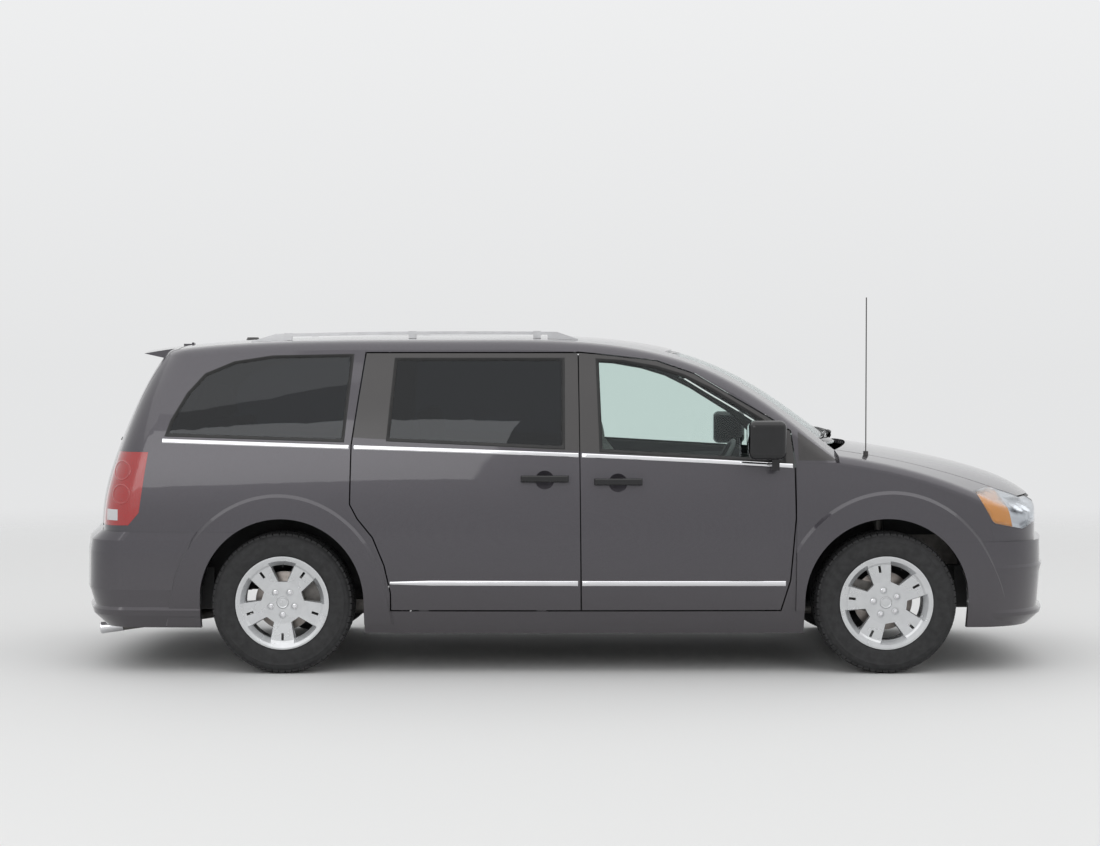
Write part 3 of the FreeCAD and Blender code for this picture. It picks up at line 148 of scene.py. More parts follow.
def carPaint(name, upperTrim=False):
    material, tree, place = newMaterial(name)
    flake = nodeIn(tree, "ShaderNodeTexVoronoi", {"Vector": place, "Scale": paintLook["flakes"]})
    flakes = rampOf(tree, flake.outputs["Color"], [(0.0, paintLook["dark"]), (1.0, paintLook["light"])])
    split = nodeIn(tree, "ShaderNodeSeparateXYZ", {"Vector": place}).outputs
    # the paint turns towards a paler warm grey near the bottom: most below 0.24 m, none above 0.62 m
    paleByHeight = outOf(tree, "ShaderNodeMapRange", {
        "Value": split["Z"], "From Min": paintLook["paleFullBelow"], "From Max": paintLook["paleGoneAbove"],
        "To Min": paintLook["paleMost"], "To Max": 0.0})
    paledPaint = nodeIn(tree, "ShaderNodeMix", {"Factor": paleByHeight, "A": flakes, "B": paintLook["paleLowColour"]}, data_type="RGBA")
    surface = principledOf(tree, {
        "Base Color": paledPaint.outputs["Result"], "Metallic": 0.6, "Roughness": 0.36, "Coat Weight": 1.0,
        "Coat Roughness": 0.02, "Coat IOR": 1.5,
        "Coat Normal": bumpOf(tree, noiseOf(tree, place, paintLook["peelScale"], 1.0), paintLook["peel"], 0.0006)})
    if upperTrim:
        trim = principledOf(tree, {"Base Color": paintLook["trim"], "Roughness": 0.36, "Coat Weight": 0.25,
            "Coat Roughness": 0.2})
        level = mathOf(tree, "MULTIPLY_ADD", split["X"], paintLook["trimSlope"], split["Z"])
        surface = blendOf(tree, mathOf(tree, "GREATER_THAN", level, paintLook["trimLevel"]), surface, trim)
    return finished(material, surface)


# thin pane: see-through by its tint, with a mirror that grows at a grazing view
glassLook = {"mirrored": (0.86, 0.88, 0.90), "falloff": 4.0, "grazing": 0.7}


def tintedGlass(name, tint, shade, waves=0.05):
    material, tree, place = newMaterial(name)
    relief = bumpOf(tree, noiseOf(tree, place, 1.6, 1.0), waves, 0.01)
    mirror = principledOf(tree, {"Base Color": glassLook["mirrored"], "Metallic": 1.0, "Roughness": 0.0, "IOR": 1.5,
        "Normal": relief})
    clear = outOf(tree, "ShaderNodeBsdfTransparent", {"Color": tint})
    facing = nodeIn(tree, "ShaderNodeLayerWeight", {"Blend": 0.5, "Normal": relief}).outputs["Facing"]
    grazing = mathOf(tree, "POWER", facing, glassLook["falloff"])
    strength = mathOf(tree, "MULTIPLY_ADD", grazing, glassLook["grazing"], shade, use_clamp=True)
    return finished(material, blendOf(tree, strength, clear, mirror))


# woven cloth: two crossing wave textures make the threads
def woven(name, colour, threads, depth):
    material, tree, place = newMaterial(name)
    threadLines = [waveOf(tree, place, threads, way, 1.2) for way in ("Y", "DIAGONAL")]
    return finished(material, principledOf(tree, {
        "Base Color": shadedOf(tree, noiseOf(tree, place, 9.0, 5.0), colour, 0.8, 1.2),
        "Roughness": 0.92, "Sheen Weight": 0.35, "Sheen Roughness": 0.5,
        "Normal": bumpOf(tree, mathOf(tree, "MULTIPLY", *threadLines), depth, 0.0008)}))


# moulded lens with fine flutes under a glossy skin, with painted shade darkening the flutes' troughs and a painted
# highlight lightening their crests
def fluted(name, colour, flutes, depth):
    material, tree, place = newMaterial(name)
    across, along = waveOf(tree, place, flutes, "Z"), waveOf(tree, place, flutes * 0.7, "X")
    return finished(material, principledOf(tree, {
        # painted shade and highlight: the base colour darkens in the flute troughs and lightens on the crests
        "Base Color": shadedOf(tree, across, colour, 0.65, 1.15, 0.2, 0.9),
        "Roughness": 0.12, "Coat Weight": 1.0, "Coat Roughness": 0.03, "Specular IOR Level": 0.6,
        "Normal": bumpOf(tree, mathOf(tree, "ADD", across, along), depth, 0.002)}))


# each row: colour, its drift, the drift's scale, bump, the bump's scale, roughness, metal
speckledLooks = {
    "blackTrim": ((0.018, 0.018, 0.019), 0.2, 40, 0.25, 900, 0.42),
    "glossBlack": ((0.010, 0.010, 0.011), 0.2, 20, 0.0, 300, 0.10),
    "greyTrim": ((0.055, 0.052, 0.052), 0.1, 30, 0.1, 900, 0.38),
    "sealRubber": ((0.012, 0.012, 0.012), 0.3, 30, 0.3, 500, 0.55),
    "chrome": ((0.80, 0.80, 0.82), 0.03, 8, 0.0, 50, 0.06, 1.0),
    "railSilver": ((0.56, 0.56, 0.57), 0.05, 20, 0.1, 700, 0.30, 0.9),
    "alloy": ((0.62, 0.63, 0.64), 0.04, 25, 0.05, 1500, 0.27, 0.7),
    "rubber": ((0.024, 0.024, 0.025), 0.3, 30, 0.4, 600, 0.78),
    "chassis": ((0.018, 0.018, 0.019), 0.3, 20, 0.4, 300, 0.7),
    "castSteel": ((0.20, 0.19, 0.18), 0.2, 30, 0.4, 400, 0.5, 0.8),
    "discSteel": ((0.30, 0.27, 0.25), 0.15, 60, 0.3, 300, 0.35, 0.9),
    "seatThread": ((0.30, 0.29, 0.27), 0.1, 90, 0.4, 900, 0.8),
    "dash": ((0.05, 0.05, 0.052), 0.1, 80, 0.5, 900, 0.6),
    "mirrorGlass": ((0.75, 0.77, 0.80), 0.01, 5, 0.0, 50, 0.02, 1.0),
    "bulbSilver": ((0.85, 0.86, 0.88), 0.03, 30, 0.05, 200, 0.12, 1.0),
    "lampHousing": ((0.66, 0.67, 0.69), 0.03, 30, 0.05, 200, 0.30, 0.7),
}
look = {name: speckled(name, *values) for name, values in speckledLooks.items()}
look.update({
    "paint": carPaint("paint"),
    "doorPaint": carPaint("doorPaint", upperTrim=True),
    "seatFabric": woven("seatFabric", (0.20, 0.195, 0.185), 260, 0.6),
    "clearGlass": tintedGlass("clearGlass", (0.90, 0.95, 0.935), 0.025),
    "darkGlass": tintedGlass("darkGlass", (0.22, 0.24, 0.26), 0.045),
    "lampClear": tintedGlass("lampClear", (0.94, 0.95, 0.96), 0.02, waves=0.0),
    "lampRed": fluted("lampRed", (0.42, 0.005, 0.005), 60, 0.12),
    "lampWhite": fluted("lampWhite", (0.72, 0.72, 0.74), 90, 0.4),
    "lampAmber": fluted("lampAmber", (0.95, 0.33, 0.02), 90, 0.35),
})
slotLook = {
    "paint": "paint", "black_trim": "blackTrim", "grey_trim": "greyTrim", "silver_rail": "railSilver", "alloy": "alloy",
    "tyre_rubber": "rubber", "clear_glass": "clearGlass", "dark_glass": "darkGlass", "lamp_clear": "lampClear",
    "lamp_red": "lampRed", "chassis": "chassis", "steel": "castSteel", "seat_fabric": "seatFabric",
    "dash_plastic": "dash", "aerial": "greyTrim",
}
nodeLook = dict.fromkeys(("front_door_right", "front_door_left", "sliding_doors"), "doorPaint")
nodeLook.update(dict.fromkeys(("mirror_right", "mirror_left", "door_handle_right", "door_handle_left",
    "sliding_handles"), "glossBlack"))
slotOf = {entry["node"]: entry["material_slot"] for entry in frame["record"]["subparts"]}
for name, item in frame["nodes"].items():
    item.data.materials.clear()
    item.data.materials.append(look[nodeLook.get(name, slotLook[slotOf[name]])])
print("stage: CAD nodes dressed")


# Meshes
def pieceOf(name, mesh, body, material=None, smooth=True):
    if isinstance(mesh, list):
        mesh = joinedMesh(mesh)
    mesh.name = name
    item = bpy.data.objects.new(name, mesh)
    collection.objects.link(item)
    if material:
        mesh.materials.append(look[material])
    if smooth:
        mesh.polygons.foreach_set("use_smooth", [True] * len(mesh.polygons))
    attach(item, body)
    return item


def rawMesh(vertices, faces, edges=()):
    mesh = bpy.data.meshes.new("piece")
    mesh.from_pydata([tuple(v) for v in vertices], edges, faces)
    mesh.update()
    return mesh


# joins points that lie within weld of each other and, where asked, turns the faces outward
def cleaned(mesh, weld=1e-6, outward=True):
    work = bmesh.new()
    work.from_mesh(mesh)
    bmesh.ops.remove_doubles(work, verts=work.verts, dist=weld)
    if outward:
        bmesh.ops.recalc_face_normals(work, faces=work.faces)
    work.to_mesh(mesh)
    work.free()
    mesh.update()
    return mesh


def joinedMesh(meshes):
    vertices, faces = [], []
    for part in meshes:
        start = len(vertices)
        vertices += [v.co[:] for v in part.vertices]
        faces += [[i + start for i in face.vertices] for face in part.polygons]
    return rawMesh(vertices, faces)


# quads over a grid of points given row by row; rows and columns can close on themselves
def gridFaces(rows, columns, closedRows=False, closedColumns=False, rowsFirst=False, flipped=False, base=0):
    faces = []
    for i in range(rows if closedRows else rows - 1):
        here, after = base + i * columns, base + (i + 1) % rows * columns
        for j in range(columns if closedColumns else columns - 1):
            n = (j + 1) % columns
            a, b, c, d = here + j, here + n, after + n, after + j
            face = (a, d, c, b) if rowsFirst else (a, b, c, d)
            faces.append(face[::-1] if flipped else face)
    return faces


def circle(count):
    return [(math.cos(2 * math.pi * k / count), math.sin(2 * math.pi * k / count)) for k in range(count)]


# a profile of (radius, out) turned about an axis; axes are two spokes and the way out
def turnedMesh(profile, centre, axes, segments, closed=False):
    centre = Vector(centre)
    across, other, way = [Vector(axis) for axis in axes]
    vertices = []
    for c, s in circle(segments):
        vertices += [centre + (across * c + other * s) * radius + way * out for radius, out in profile]
    return cleaned(rawMesh(vertices, gridFaces(segments, len(profile), True, closed)))


# box with eased edges, from its two corners
def easedBox(low, high, ease, segments=2, turn=None):
    work = bmesh.new()
    bmesh.ops.create_cube(work, size=1.0)
    for vertex in work.verts:
        vertex.co = Vector([(a + b) / 2 + c * (b - a) for a, b, c in zip(low, high, vertex.co)])
    bmesh.ops.bevel(work, geom=list(work.edges), offset=ease, segments=segments, affect="EDGES", profile=0.6)
    if turn:
        bmesh.ops.rotate(work, verts=work.verts, cent=Vector(turn[0]), matrix=Matrix.Rotation(turn[1], 3, turn[2]))
    mesh = bpy.data.meshes.new("piece")
    bmesh.ops.recalc_face_normals(work, faces=work.faces)
    work.to_mesh(mesh)
    work.free()
    return mesh


# round tube through points, its ends closed, with one radius for each point
def tubeMesh(points, radii, segments):
    points = [Vector(p) for p in points]
    last = len(points) - 1
    vertices, across = [], None
    for i, point in enumerate(points):
        way = (points[min(i + 1, last)] - points[max(i - 1, 0)]).normalized()
        if across is None:
            across = way.orthogonal().normalized()
        across = (across - way * across.dot(way)).normalized()
        other = way.cross(across)
        vertices += [point + (across * c + other * s) * radii[i] for c, s in circle(segments)]
    ends = [tuple(range(i * segments, (i + 1) * segments)) for i in (0, last)]
    return cleaned(rawMesh(vertices, gridFaces(last + 1, segments, closedColumns=True) + ends))


def evaluated(item):
    graph = bpy.context.evaluated_depsgraph_get()
    graph.update()
    return bpy.data.meshes.new_from_object(item.evaluated_get(graph))


def thickened(item, wall, offset):
    modifier = item.modifiers.new("wall", "SOLIDIFY")
    modifier.thickness, modifier.offset = wall, offset
    mesh = evaluated(item)
    item.modifiers.remove(modifier)
    item.data = mesh


# Geometry Nodes: every tree takes a seed and a material
def newTree(name, **sockets):
    tree = bpy.data.node_groups.new(name, "GeometryNodeTree")
    for label, kind in (("Geometry", "Geometry"), *sockets.items(), ("Material", "Material")):
        tree.interface.new_socket(label, in_out="INPUT", socket_type="NodeSocket" + kind)
    tree.interface.new_socket("Geometry", in_out="OUTPUT", socket_type="NodeSocketGeometry")
    return tree, nodeIn(tree, "NodeGroupInput").outputs


def closeTree(tree, given, inputs, centre=None):
    copies = outOf(tree, "GeometryNodeInstanceOnPoints", inputs)
    geometry = outOf(tree, "GeometryNodeRealizeInstances", {0: copies})
    if centre is not None:
        geometry = outOf(tree, "GeometryNodeTransform", {"Geometry": geometry, "Translation": centre})
    dress = outOf(tree, "GeometryNodeSetMaterial", {"Geometry": geometry, "Material": given["Material"]})
    nodeIn(tree, "NodeGroupOutput", {0: dress})
    return tree


# copies of the seed round an axis along Y
def ringTree():
    tree, given = newTree("ringOfCopies", Count="Int", Centre="Vector")
    points = outOf(tree, "GeometryNodePoints", {"Count": given["Count"]})
    index = outOf(tree, "GeometryNodeInputIndex")
    angle = mathOf(tree, "MULTIPLY", index, mathOf(tree, "DIVIDE", 2 * math.pi, given["Count"]))
    euler = outOf(tree, "ShaderNodeCombineXYZ", {"Y": angle})
    turn = outOf(tree, "FunctionNodeEulerToRotation", {0: euler})
    return closeTree(tree, given, {"Points": points, "Instance": given["Geometry"], "Rotation": turn}, given["Centre"])


# copies of the seed in a straight row
def rowTree():
    tree, given = newTree("rowOfCopies", Count="Int", Step="Vector")
    index = outOf(tree, "GeometryNodeInputIndex")
    place = outOf(tree, "ShaderNodeVectorMath", {0: given["Step"], "Scale": index}, operation="SCALE")
    points = outOf(tree, "GeometryNodePoints", {"Count": given["Count"], "Position": place})
    return closeTree(tree, given, {"Points": points, "Instance": given["Geometry"]})


# short threads laid end to end along the seed's edges
def stitchTree():
    tree, given = newTree("stitchesOnLine", Pitch="Float", Length="Float", Thickness="Float")
    line = outOf(tree, "GeometryNodeMeshToCurve", {"Mesh": given["Geometry"]})
    spaced = outOf(tree, "GeometryNodeResampleCurve", {"Curve": line, "Length": given["Pitch"]}, mode="LENGTH")
    tangent = outOf(tree, "GeometryNodeInputTangent")
    turn = outOf(tree, "FunctionNodeAlignRotationToVector", {"Vector": tangent}, axis="X")
    measures = outOf(tree, "ShaderNodeCombineXYZ", {"X": given["Length"], "Y": given["Thickness"],
        "Z": given["Thickness"]})
    thread = outOf(tree, "GeometryNodeMeshIcoSphere", {"Radius": 0.5, "Subdivisions": 1})
    return closeTree(tree, given, {"Points": spaced, "Instance": thread, "Rotation": turn, "Scale": measures})


ringOfCopies, rowOfCopies, stitchesOnLine = ringTree(), rowTree(), stitchTree()


def grown(name, seed, tree, body, material, **values):
    values["Material"] = look[material]
    item = bpy.data.objects.new(name + "Seed", seed)
    collection.objects.link(item)
    modifier = item.modifiers.new("grow", "NODES")
    modifier.node_group = tree
    for socket in tree.interface.items_tree:
        if socket.name in values:
            modifier[socket.identifier] = values[socket.name]
    mesh = evaluated(item)
    mesh.name = name
    bpy.data.objects.remove(item)
    return pieceOf(name, mesh, body, smooth=False)


# Surfaces of CAD nodes, and where a ray meets them: the normal faces the ray's start
def surfaceOf(name):
    mesh = frame["nodes"][name].data
    return BVHTree.FromPolygons([v.co.copy() for v in mesh.vertices], [face.vertices[:] for face in mesh.polygons])


def rayHit(surface, start, way, reach):
    way = Vector(way)
    hit, normal, index, distance = surface.ray_cast(Vector(start), way, reach)
    if hit is None:
        return None, None
    return hit, normal if normal.dot(way) < 0 else -normal


def sidePoint(surface, x, z, side):
    hit, normal = rayHit(surface, (x, side * 1.5, z), (0, -side, 0), 0.95)
    return (None, None) if hit is None or hit.y * side < 0.5 else (hit, normal)


# Tyres: a swept carcass, and tread blocks repeated round it
axles = {"front": 1.632, "rear": -1.446}
halfTrack, axleHeight = 0.825, 0.362
tyreLook = {"pitches": 66, "segments": 120, "blockTop": 0.3615, "blockFoot": 0.3525, "duty": 0.84, "shear": 0.55,
    "shoulder": 0.09, "shoulderTop": 0.0075, "shoulderFoot": 0.0120,
    "lug": ((0.3370, 0.1060), (0.3370, 0.1035), (0.3490, 0.0955), (0.3480, 0.0925))}
carcass = [(0.2193, -0.088), (0.241, -0.0993), (0.2445, -0.1040), (0.2500, -0.1046), (0.2525, -0.1060),
    (0.270, -0.1105), (0.285, -0.1122), (0.300, -0.1128), (0.3125, -0.1122), (0.3145, -0.1132),
    (0.3175, -0.1130), (0.3190, -0.1118), (0.328, -0.1096), (0.338, -0.1050), (0.3465, -0.0965),
    (0.3520, -0.0860), (0.3535, -0.0780)]
carcass += [(radius, -out) for radius, out in reversed(carcass)]
ribs = [(-0.0985, -0.0690, 0.0), (-0.0640, -0.0290, 1.0), (-0.0225, 0.0225, 0.0), (0.0290, 0.0640, -1.0),
        (0.0690, 0.0985, 0.0)]
blockFaces = [(0, 1, 3, 2), (4, 6, 7, 5), (0, 2, 6, 4), (1, 5, 7, 3), (0, 4, 5, 1), (2, 3, 7, 6)]


def treadPitch(side):
    pitch = 2 * math.pi / tyreLook["pitches"]
    corners = []
    for start, end, lean in ribs:
        for part in (0.0, 0.5):
            begin = pitch * (part * tyreLook["duty"] + 0.02)
            finish = begin + pitch * 0.5 * (tyreLook["duty"] - 0.07)
            for out in (start, end):
                atShoulder = abs(out) > tyreLook["shoulder"]
                top = tyreLook["blockTop"] - (tyreLook["shoulderTop"] if atShoulder else 0.0)
                foot = tyreLook["blockFoot"] - (tyreLook["shoulderFoot"] if atShoulder else 0.0)
                slip = lean * tyreLook["shear"] * pitch * (out - start) / (end - start)
                corners += [(radius, angle + slip, out) for angle in (begin, finish) for radius in (foot, top)]
    for sign in (-1, 1):  # lugs that carry the shoulder blocks down the sidewall
        corners += [(radius, pitch * share, sign * out) for radius, out in tyreLook["lug"] for share in (0.05, 0.62)]
    vertices = [(radius * math.cos(angle), side * (halfTrack + out), radius * math.sin(angle))
        for radius, angle, out in corners]
    faces = [tuple(base + k for k in face) for base in range(0, len(corners), 8) for face in blockFaces]
    return cleaned(rawMesh(vertices, faces))


# Wheel fittings: nuts, centre cap, valve and the worn face of the brake disc
wheelLook = {"nutRadius": 0.0105, "nutFoot": 0.0702, "nutTop": 0.0865, "nutCircle": 0.0635, "nutCorner": 0.93,
    "firstNut": {"front": 29, "rear": 54}, "valveTurn": 36,
    "valve": ((0.1990, 0.050), (0.1960, 0.062), (0.1900, 0.073), (0.1830, 0.082))}
capProfile = [(0.0, 0.0665), (0.0300, 0.0665), (0.0302, 0.0790), (0.0290, 0.0812), (0.0262, 0.0818), (0.0250, 0.0800),
    (0.0200, 0.0806), (0.0100, 0.0814), (0.0, 0.0816)]
discProfile = [(0.0830, -0.0172), (0.0870, -0.0160), (0.0905, -0.0155), (0.0930, -0.0164), (0.1495, -0.0164),
    (0.1512, -0.0172)]


def nutMesh(side, angle):
    radius, foot, top, circleRadius = [wheelLook[key] for key in ("nutRadius", "nutFoot", "nutTop", "nutCircle")]
    rows = [(radius + 0.002, foot), (radius + 0.002, foot + 0.003), (radius, foot + 0.0035), (radius, top - 0.003),
            (radius * 0.78, top - 0.0006), (radius * 0.4, top)]
    x, z = circleRadius * math.cos(angle), circleRadius * math.sin(angle)
    vertices = []
    for reach, out in rows:
        for k, (c, s) in enumerate(circle(12)):
            far = reach * (1.0 if k % 2 else wheelLook["nutCorner"])
            vertices.append((x + far * c, side * (halfTrack + out), z + far * s))
    ends = [tuple(range(start, start + 12)) for start in (0, 12 * len(rows) - 12)]
    return cleaned(rawMesh(vertices, gridFaces(len(rows), 12, closedColumns=True) + ends))


for end, axleX in axles.items():
    for sideName, side in sides.items():
        body = f"{end}_wheel_{sideName}"
        turned = ((axleX, side * halfTrack, axleHeight), ((1, 0, 0), (0, 0, 1), (0, side, 0)))
        middle = (axleX, 0.0, axleHeight)
        wall = pieceOf(f"tyreWall_{end}_{sideName}",
            turnedMesh(carcass, *turned, tyreLook["segments"], True), body, "rubber")
        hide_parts(f"tyre_{end}_{sideName}")
        tread = grown(f"tread_{end}_{sideName}", treadPitch(side), ringOfCopies,
            body, "rubber", Centre=middle, Count=tyreLook["pitches"])
        first = math.radians(wheelLook["firstNut"][end])
        grown(f"nuts_{end}_{sideName}", nutMesh(side, first), ringOfCopies, body, "chrome", Centre=middle, Count=5)
        pieceOf(f"cap_{end}_{sideName}", turnedMesh(capProfile, *turned, 48), body, "alloy")
        pieceOf(f"discFace_{end}_{sideName}", turnedMesh(discProfile, *turned, 72), body, "discSteel")
        stem = first + math.radians(wheelLook["valveTurn"])
        points = [(axleX + radius * math.cos(stem), side * (halfTrack + out), axleHeight + radius * math.sin(stem))
            for radius, out in wheelLook["valve"]]
        pieceOf(f"valve_{end}_{sideName}", tubeMesh(points, [0.0045, 0.0040, 0.0032, 0.0036], 10), body, "sealRubber")
print("stage: wheels")

# Bright strips along the belt and low on the doors, laid on each panel's own surface
stripLook = {"step": 0.02, "foot": 0.0003, "ending": 0.25, "beltWidth": 0.021, "beltProud": 0.0034,
    "lowWidth": 0.026, "lowProud": 0.0042, "lowLevel": 0.4645, "lowRise": 0.004 / 2.2}
beltLine = numpy.polyfit([-2.007, -1.085, -0.95, 0.779, 1.362], [1.186, 1.159, 1.150, 1.084, 1.048], 3)
stripSection = [(-1.0, 0.0002), (-0.86, 0.72), (-0.45, 1.0), (0.45, 1.0), (0.86, 0.72), (1.0, 0.0002)]


# the strip's level and width at x, with how proud it stands
def beltForm(x):
    return float(numpy.polyval(beltLine, x)), stripLook["beltWidth"], stripLook["beltProud"]


def lowForm(x):
    taper = min(1.0, 0.35 + (x + 0.985) * 2.2)
    level = stripLook["lowLevel"] + stripLook["lowRise"] * (1.2 - x)
    return level, stripLook["lowWidth"] * taper, stripLook["lowProud"]


def stripMesh(surface, side, start, stop, form):
    rows = []
    count = max(3, int((stop - start) / stripLook["step"]))
    for i in range(count + 1):
        x = start + (stop - start) * i / count
        level, width, proud = form(x)
        if i in (0, count):
            proud *= stripLook["ending"]
        found = [sidePoint(surface, x, level + t * width / 2, side) for t, lift in stripSection]
        if all(point is not None for point, normal in found):
            rows.append([point + normal * (stripLook["foot"] + proud * lift)
                for (point, normal), (t, lift) in zip(found, stripSection)])
    faces = gridFaces(len(rows), len(stripSection), rowsFirst=True, flipped=side > 0)
    return rawMesh([v for row in rows for v in row], faces)


panelSurface = {name: surfaceOf(name) for name in
    ("front_door_right", "front_door_left", "sliding_doors", "body_side_right", "body_side_left")}
for sideName, side in sides.items():
    door, doorBody = f"front_door_{sideName}", f"door_{sideName}"
    for label, node, start, stop, body, form in (
            ("beltDoor", door, 0.080, 1.150, doorBody, beltForm),
            ("beltSlider", "sliding_doors", -1.078, 0.062, "body", beltForm),
            ("beltQuarter", f"body_side_{sideName}", -2.060, -1.104, "body", beltForm),
            ("lowDoor", door, 0.082, 1.135, doorBody, lowForm),
            ("lowSlider", "sliding_doors", -0.975, 0.060, "body", lowForm)):
        strip = stripMesh(panelSurface[node], side, start, stop, form)
        pieceOf(f"{label}_{sideName}", strip, body, "chrome")
print("stage: bright strips")

# Rubber seals that close the step from each panel to its glass
sealLook = {"outer": 0.004, "inner": 0.013, "lift": 0.0012, "step": 0.03, "glassStep": 0.009}
beltZ = 1.128
windows = {label: [(cornerX + x, beltZ + z) for x, z in outline] for label, cornerX, outline in (
    ("front", 1.166, [
        (-0.993, 0.008), (-0.053, -0.046), (-0.057, 0.063), (-0.167, 0.171), (-0.412, 0.322), (-0.561, 0.396),
        (-0.705, 0.440), (-0.873, 0.469), (-1.011, 0.477)]),
    ("slider", 0.070, [(-0.981, 0.062), (-0.080, 0.022), (-0.080, 0.480), (-0.946, 0.480)]),
    ("quarter", -1.092, [
        (-0.953, 0.085), (-0.040, 0.057), (0.000, 0.500), (-0.421, 0.492), (-0.616, 0.462), (-0.765, 0.400),
        (-0.852, 0.300), (-0.928, 0.163)]))}


def resampled(points, step):
    result = []
    for here, after in zip(points, points[1:] + points[:1]):
        here, after = Vector(here), Vector(after)
        count = max(1, int((after - here).length / step))
        result += [here.lerp(after, k / count) for k in range(count)]
    return result


def offsetLine(points, distance):
    result = []
    for before, here, after in zip(points[-1:] + points[:-1], points, points[1:] + points[:1]):
        first, second = [Vector((way.y, -way.x)) for way in ((here - before).normalized(), (after - here).normalized())]
        normal = (first + second).normalized()
        result.append(here + normal * (distance / max(0.35, normal.dot(first))))
    return result


def sealMesh(outline, panel, pane, side):
    area = sum(a[0] * b[1] - b[0] * a[1] for a, b in zip(outline, outline[1:] + outline[:1]))
    sign = 1 if area > 0 else -1
    base = resampled(outline, sealLook["step"])
    rows = []
    for o, b, i in zip(offsetLine(base, sign * sealLook["outer"]), base, offsetLine(base, -sign * sealLook["inner"])):
        glassPoint, glassNormal = sidePoint(pane, i.x, i.y, side)
        edgePoint, edgeNormal = sidePoint(panel, o.x, o.y, side)
        if glassPoint is None:
            continue
        if edgePoint is None:
            edgePoint, edgeNormal = Vector((o.x, glassPoint.y + side * sealLook["glassStep"], o.y)), glassNormal
        rim = Vector((b.x, edgePoint.y, b.y)) + edgeNormal * sealLook["lift"] * 1.6
        rows.append([edgePoint + edgeNormal * 0.0003, edgePoint.lerp(rim, 0.5) + edgeNormal * sealLook["lift"], rim,
            rim.lerp(glassPoint, 0.6) + glassNormal * 0.002, glassPoint + glassNormal * 0.0004])
    faces = gridFaces(len(rows), 5, closedRows=True, rowsFirst=True, flipped=side * sign < 0)
    return rawMesh([v for row in rows for v in row], faces)


sideGlass = surfaceOf("side_glass")
for sideName, side in sides.items():
    for label, panel, pane, body in (
            ("front", f"front_door_{sideName}", surfaceOf(f"door_glass_{sideName}"), f"door_{sideName}"),
            ("slider", "sliding_doors", sideGlass, "body"), ("quarter", f"body_side_{sideName}", sideGlass, "body")):
        mesh = sealMesh(windows[label], panelSurface[panel], pane, side)
        pieceOf(f"seal_{label}_{sideName}", mesh, body, "sealRubber")
print("stage: window seals")

# Lamps: clear lens, silver bowls and a silver housing, made from the CAD shell's own faces
lampLook = {"inside": (1.75, 0.30, 0.80), "facing": 0.35, "lensWall": 0.0025, "sheetDepth": 0.007, "amberEnd": 2.470,
    "bowls": [(2.20, 0.585, 0.846, 0.044), (2.20, 0.690, 0.850, 0.040)], "aim": (0.80, 0.60, 0.0),
    "bowlDepth": 0.020, "bowlSunk": 0.0085}
bowlProfile = [(1.0, 0.0), (1.03, 0.02), (1.05, -0.02), (1.05, -0.2), (1.0, -0.06), (0.93, -0.26), (0.78, -0.55),
    (0.55, -0.82), (0.25, -0.97), (0.17, -0.98), (0.16, -0.45), (0.12, -0.36), (0.0, -0.34)]


# faces of one side's shell as lists of points: those that look outward, and the rest
def splitShell(side):
    work = bmesh.new()
    work.from_mesh(frame["nodes"]["headlamps"].data)
    bmesh.ops.remove_doubles(work, verts=work.verts, dist=1e-5)
    bmesh.ops.recalc_face_normals(work, faces=work.faces)
    x, y, z = lampLook["inside"]
    outer, rest = [], []
    for face in work.faces:
        middle = face.calc_center_median()
        if middle.y * side >= 0:
            way = (middle - Vector((x, side * y, z))).normalized()
            (outer if face.normal.dot(way) > lampLook["facing"] else rest).append([v.co.copy() for v in face.verts])
    work.free()
    return outer, rest


def polygonMesh(polygons):
    vertices, faces = [], []
    for polygon in polygons:
        faces.append(tuple(range(len(vertices), len(vertices) + len(polygon))))
        vertices += polygon
    return cleaned(rawMesh(vertices, faces), 1e-5, False)


# the lens faces moved in by a depth and cut off in front, where the amber part ends
def amberFaces(outer):
    sheet = polygonMesh(outer)
    for vertex, normal in [(v, v.normal.copy()) for v in sheet.vertices]:
        vertex.co = vertex.co - normal * lampLook["sheetDepth"]
    sheet.update()
    cut = bmesh.new()
    cut.from_mesh(sheet)
    bmesh.ops.bisect_plane(cut, geom=cut.verts[:] + cut.edges[:] + cut.faces[:], dist=1e-6,
        plane_co=(lampLook["amberEnd"], 0, 0), plane_no=(1, 0, 0.25), clear_outer=True)
    faces = [[v.co.copy() for v in face.verts] for face in cut.faces]
    cut.free()
    return faces


def bowlMesh(middle, way, radius):
    across = way.orthogonal().normalized()
    profile = [(radius * reach, lampLook["bowlDepth"] * out) for reach, out in bowlProfile]
    return turnedMesh(profile, middle, (across, way.cross(across), way), 40)


headParts = {"lens": [], "silver": [], "amber": []}
bowls = []
for side in (-1, 1):
    outer, rest = splitShell(side)
    headParts["amber"] += amberFaces(outer)
    headParts["lens"] += outer
    headParts["silver"] += rest
    lensTree = BVHTree.FromPolygons([tuple(v) for face in outer for v in face],
        [tuple(range(3 * i, 3 * i + 3)) for i in range(len(outer))])
    x, y, z = lampLook["aim"]
    aim = Vector((x, side * y, z)).normalized()
    for x, y, z, radius in lampLook["bowls"]:
        hit, normal = rayHit(lensTree, Vector((x, side * y, z)) + aim * 0.9, -aim, 1.5)
        bowls.append(bowlMesh(hit - normal * lampLook["bowlSunk"], normal, radius))
lens = pieceOf("headLens", polygonMesh(headParts["lens"]), "body", "lampClear")
thickened(lens, lampLook["lensWall"], -1.0)
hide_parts("headlamps")
amber = pieceOf("headLamp_amber", polygonMesh(headParts["amber"]), "body", "lampAmber")
thickened(amber, lampLook["lensWall"], -1.0)
pieceOf("headLamp_silver", polygonMesh(headParts["silver"]), "body", "lampHousing")
pieceOf("headBowls", bowls, "body", "bulbSilver")

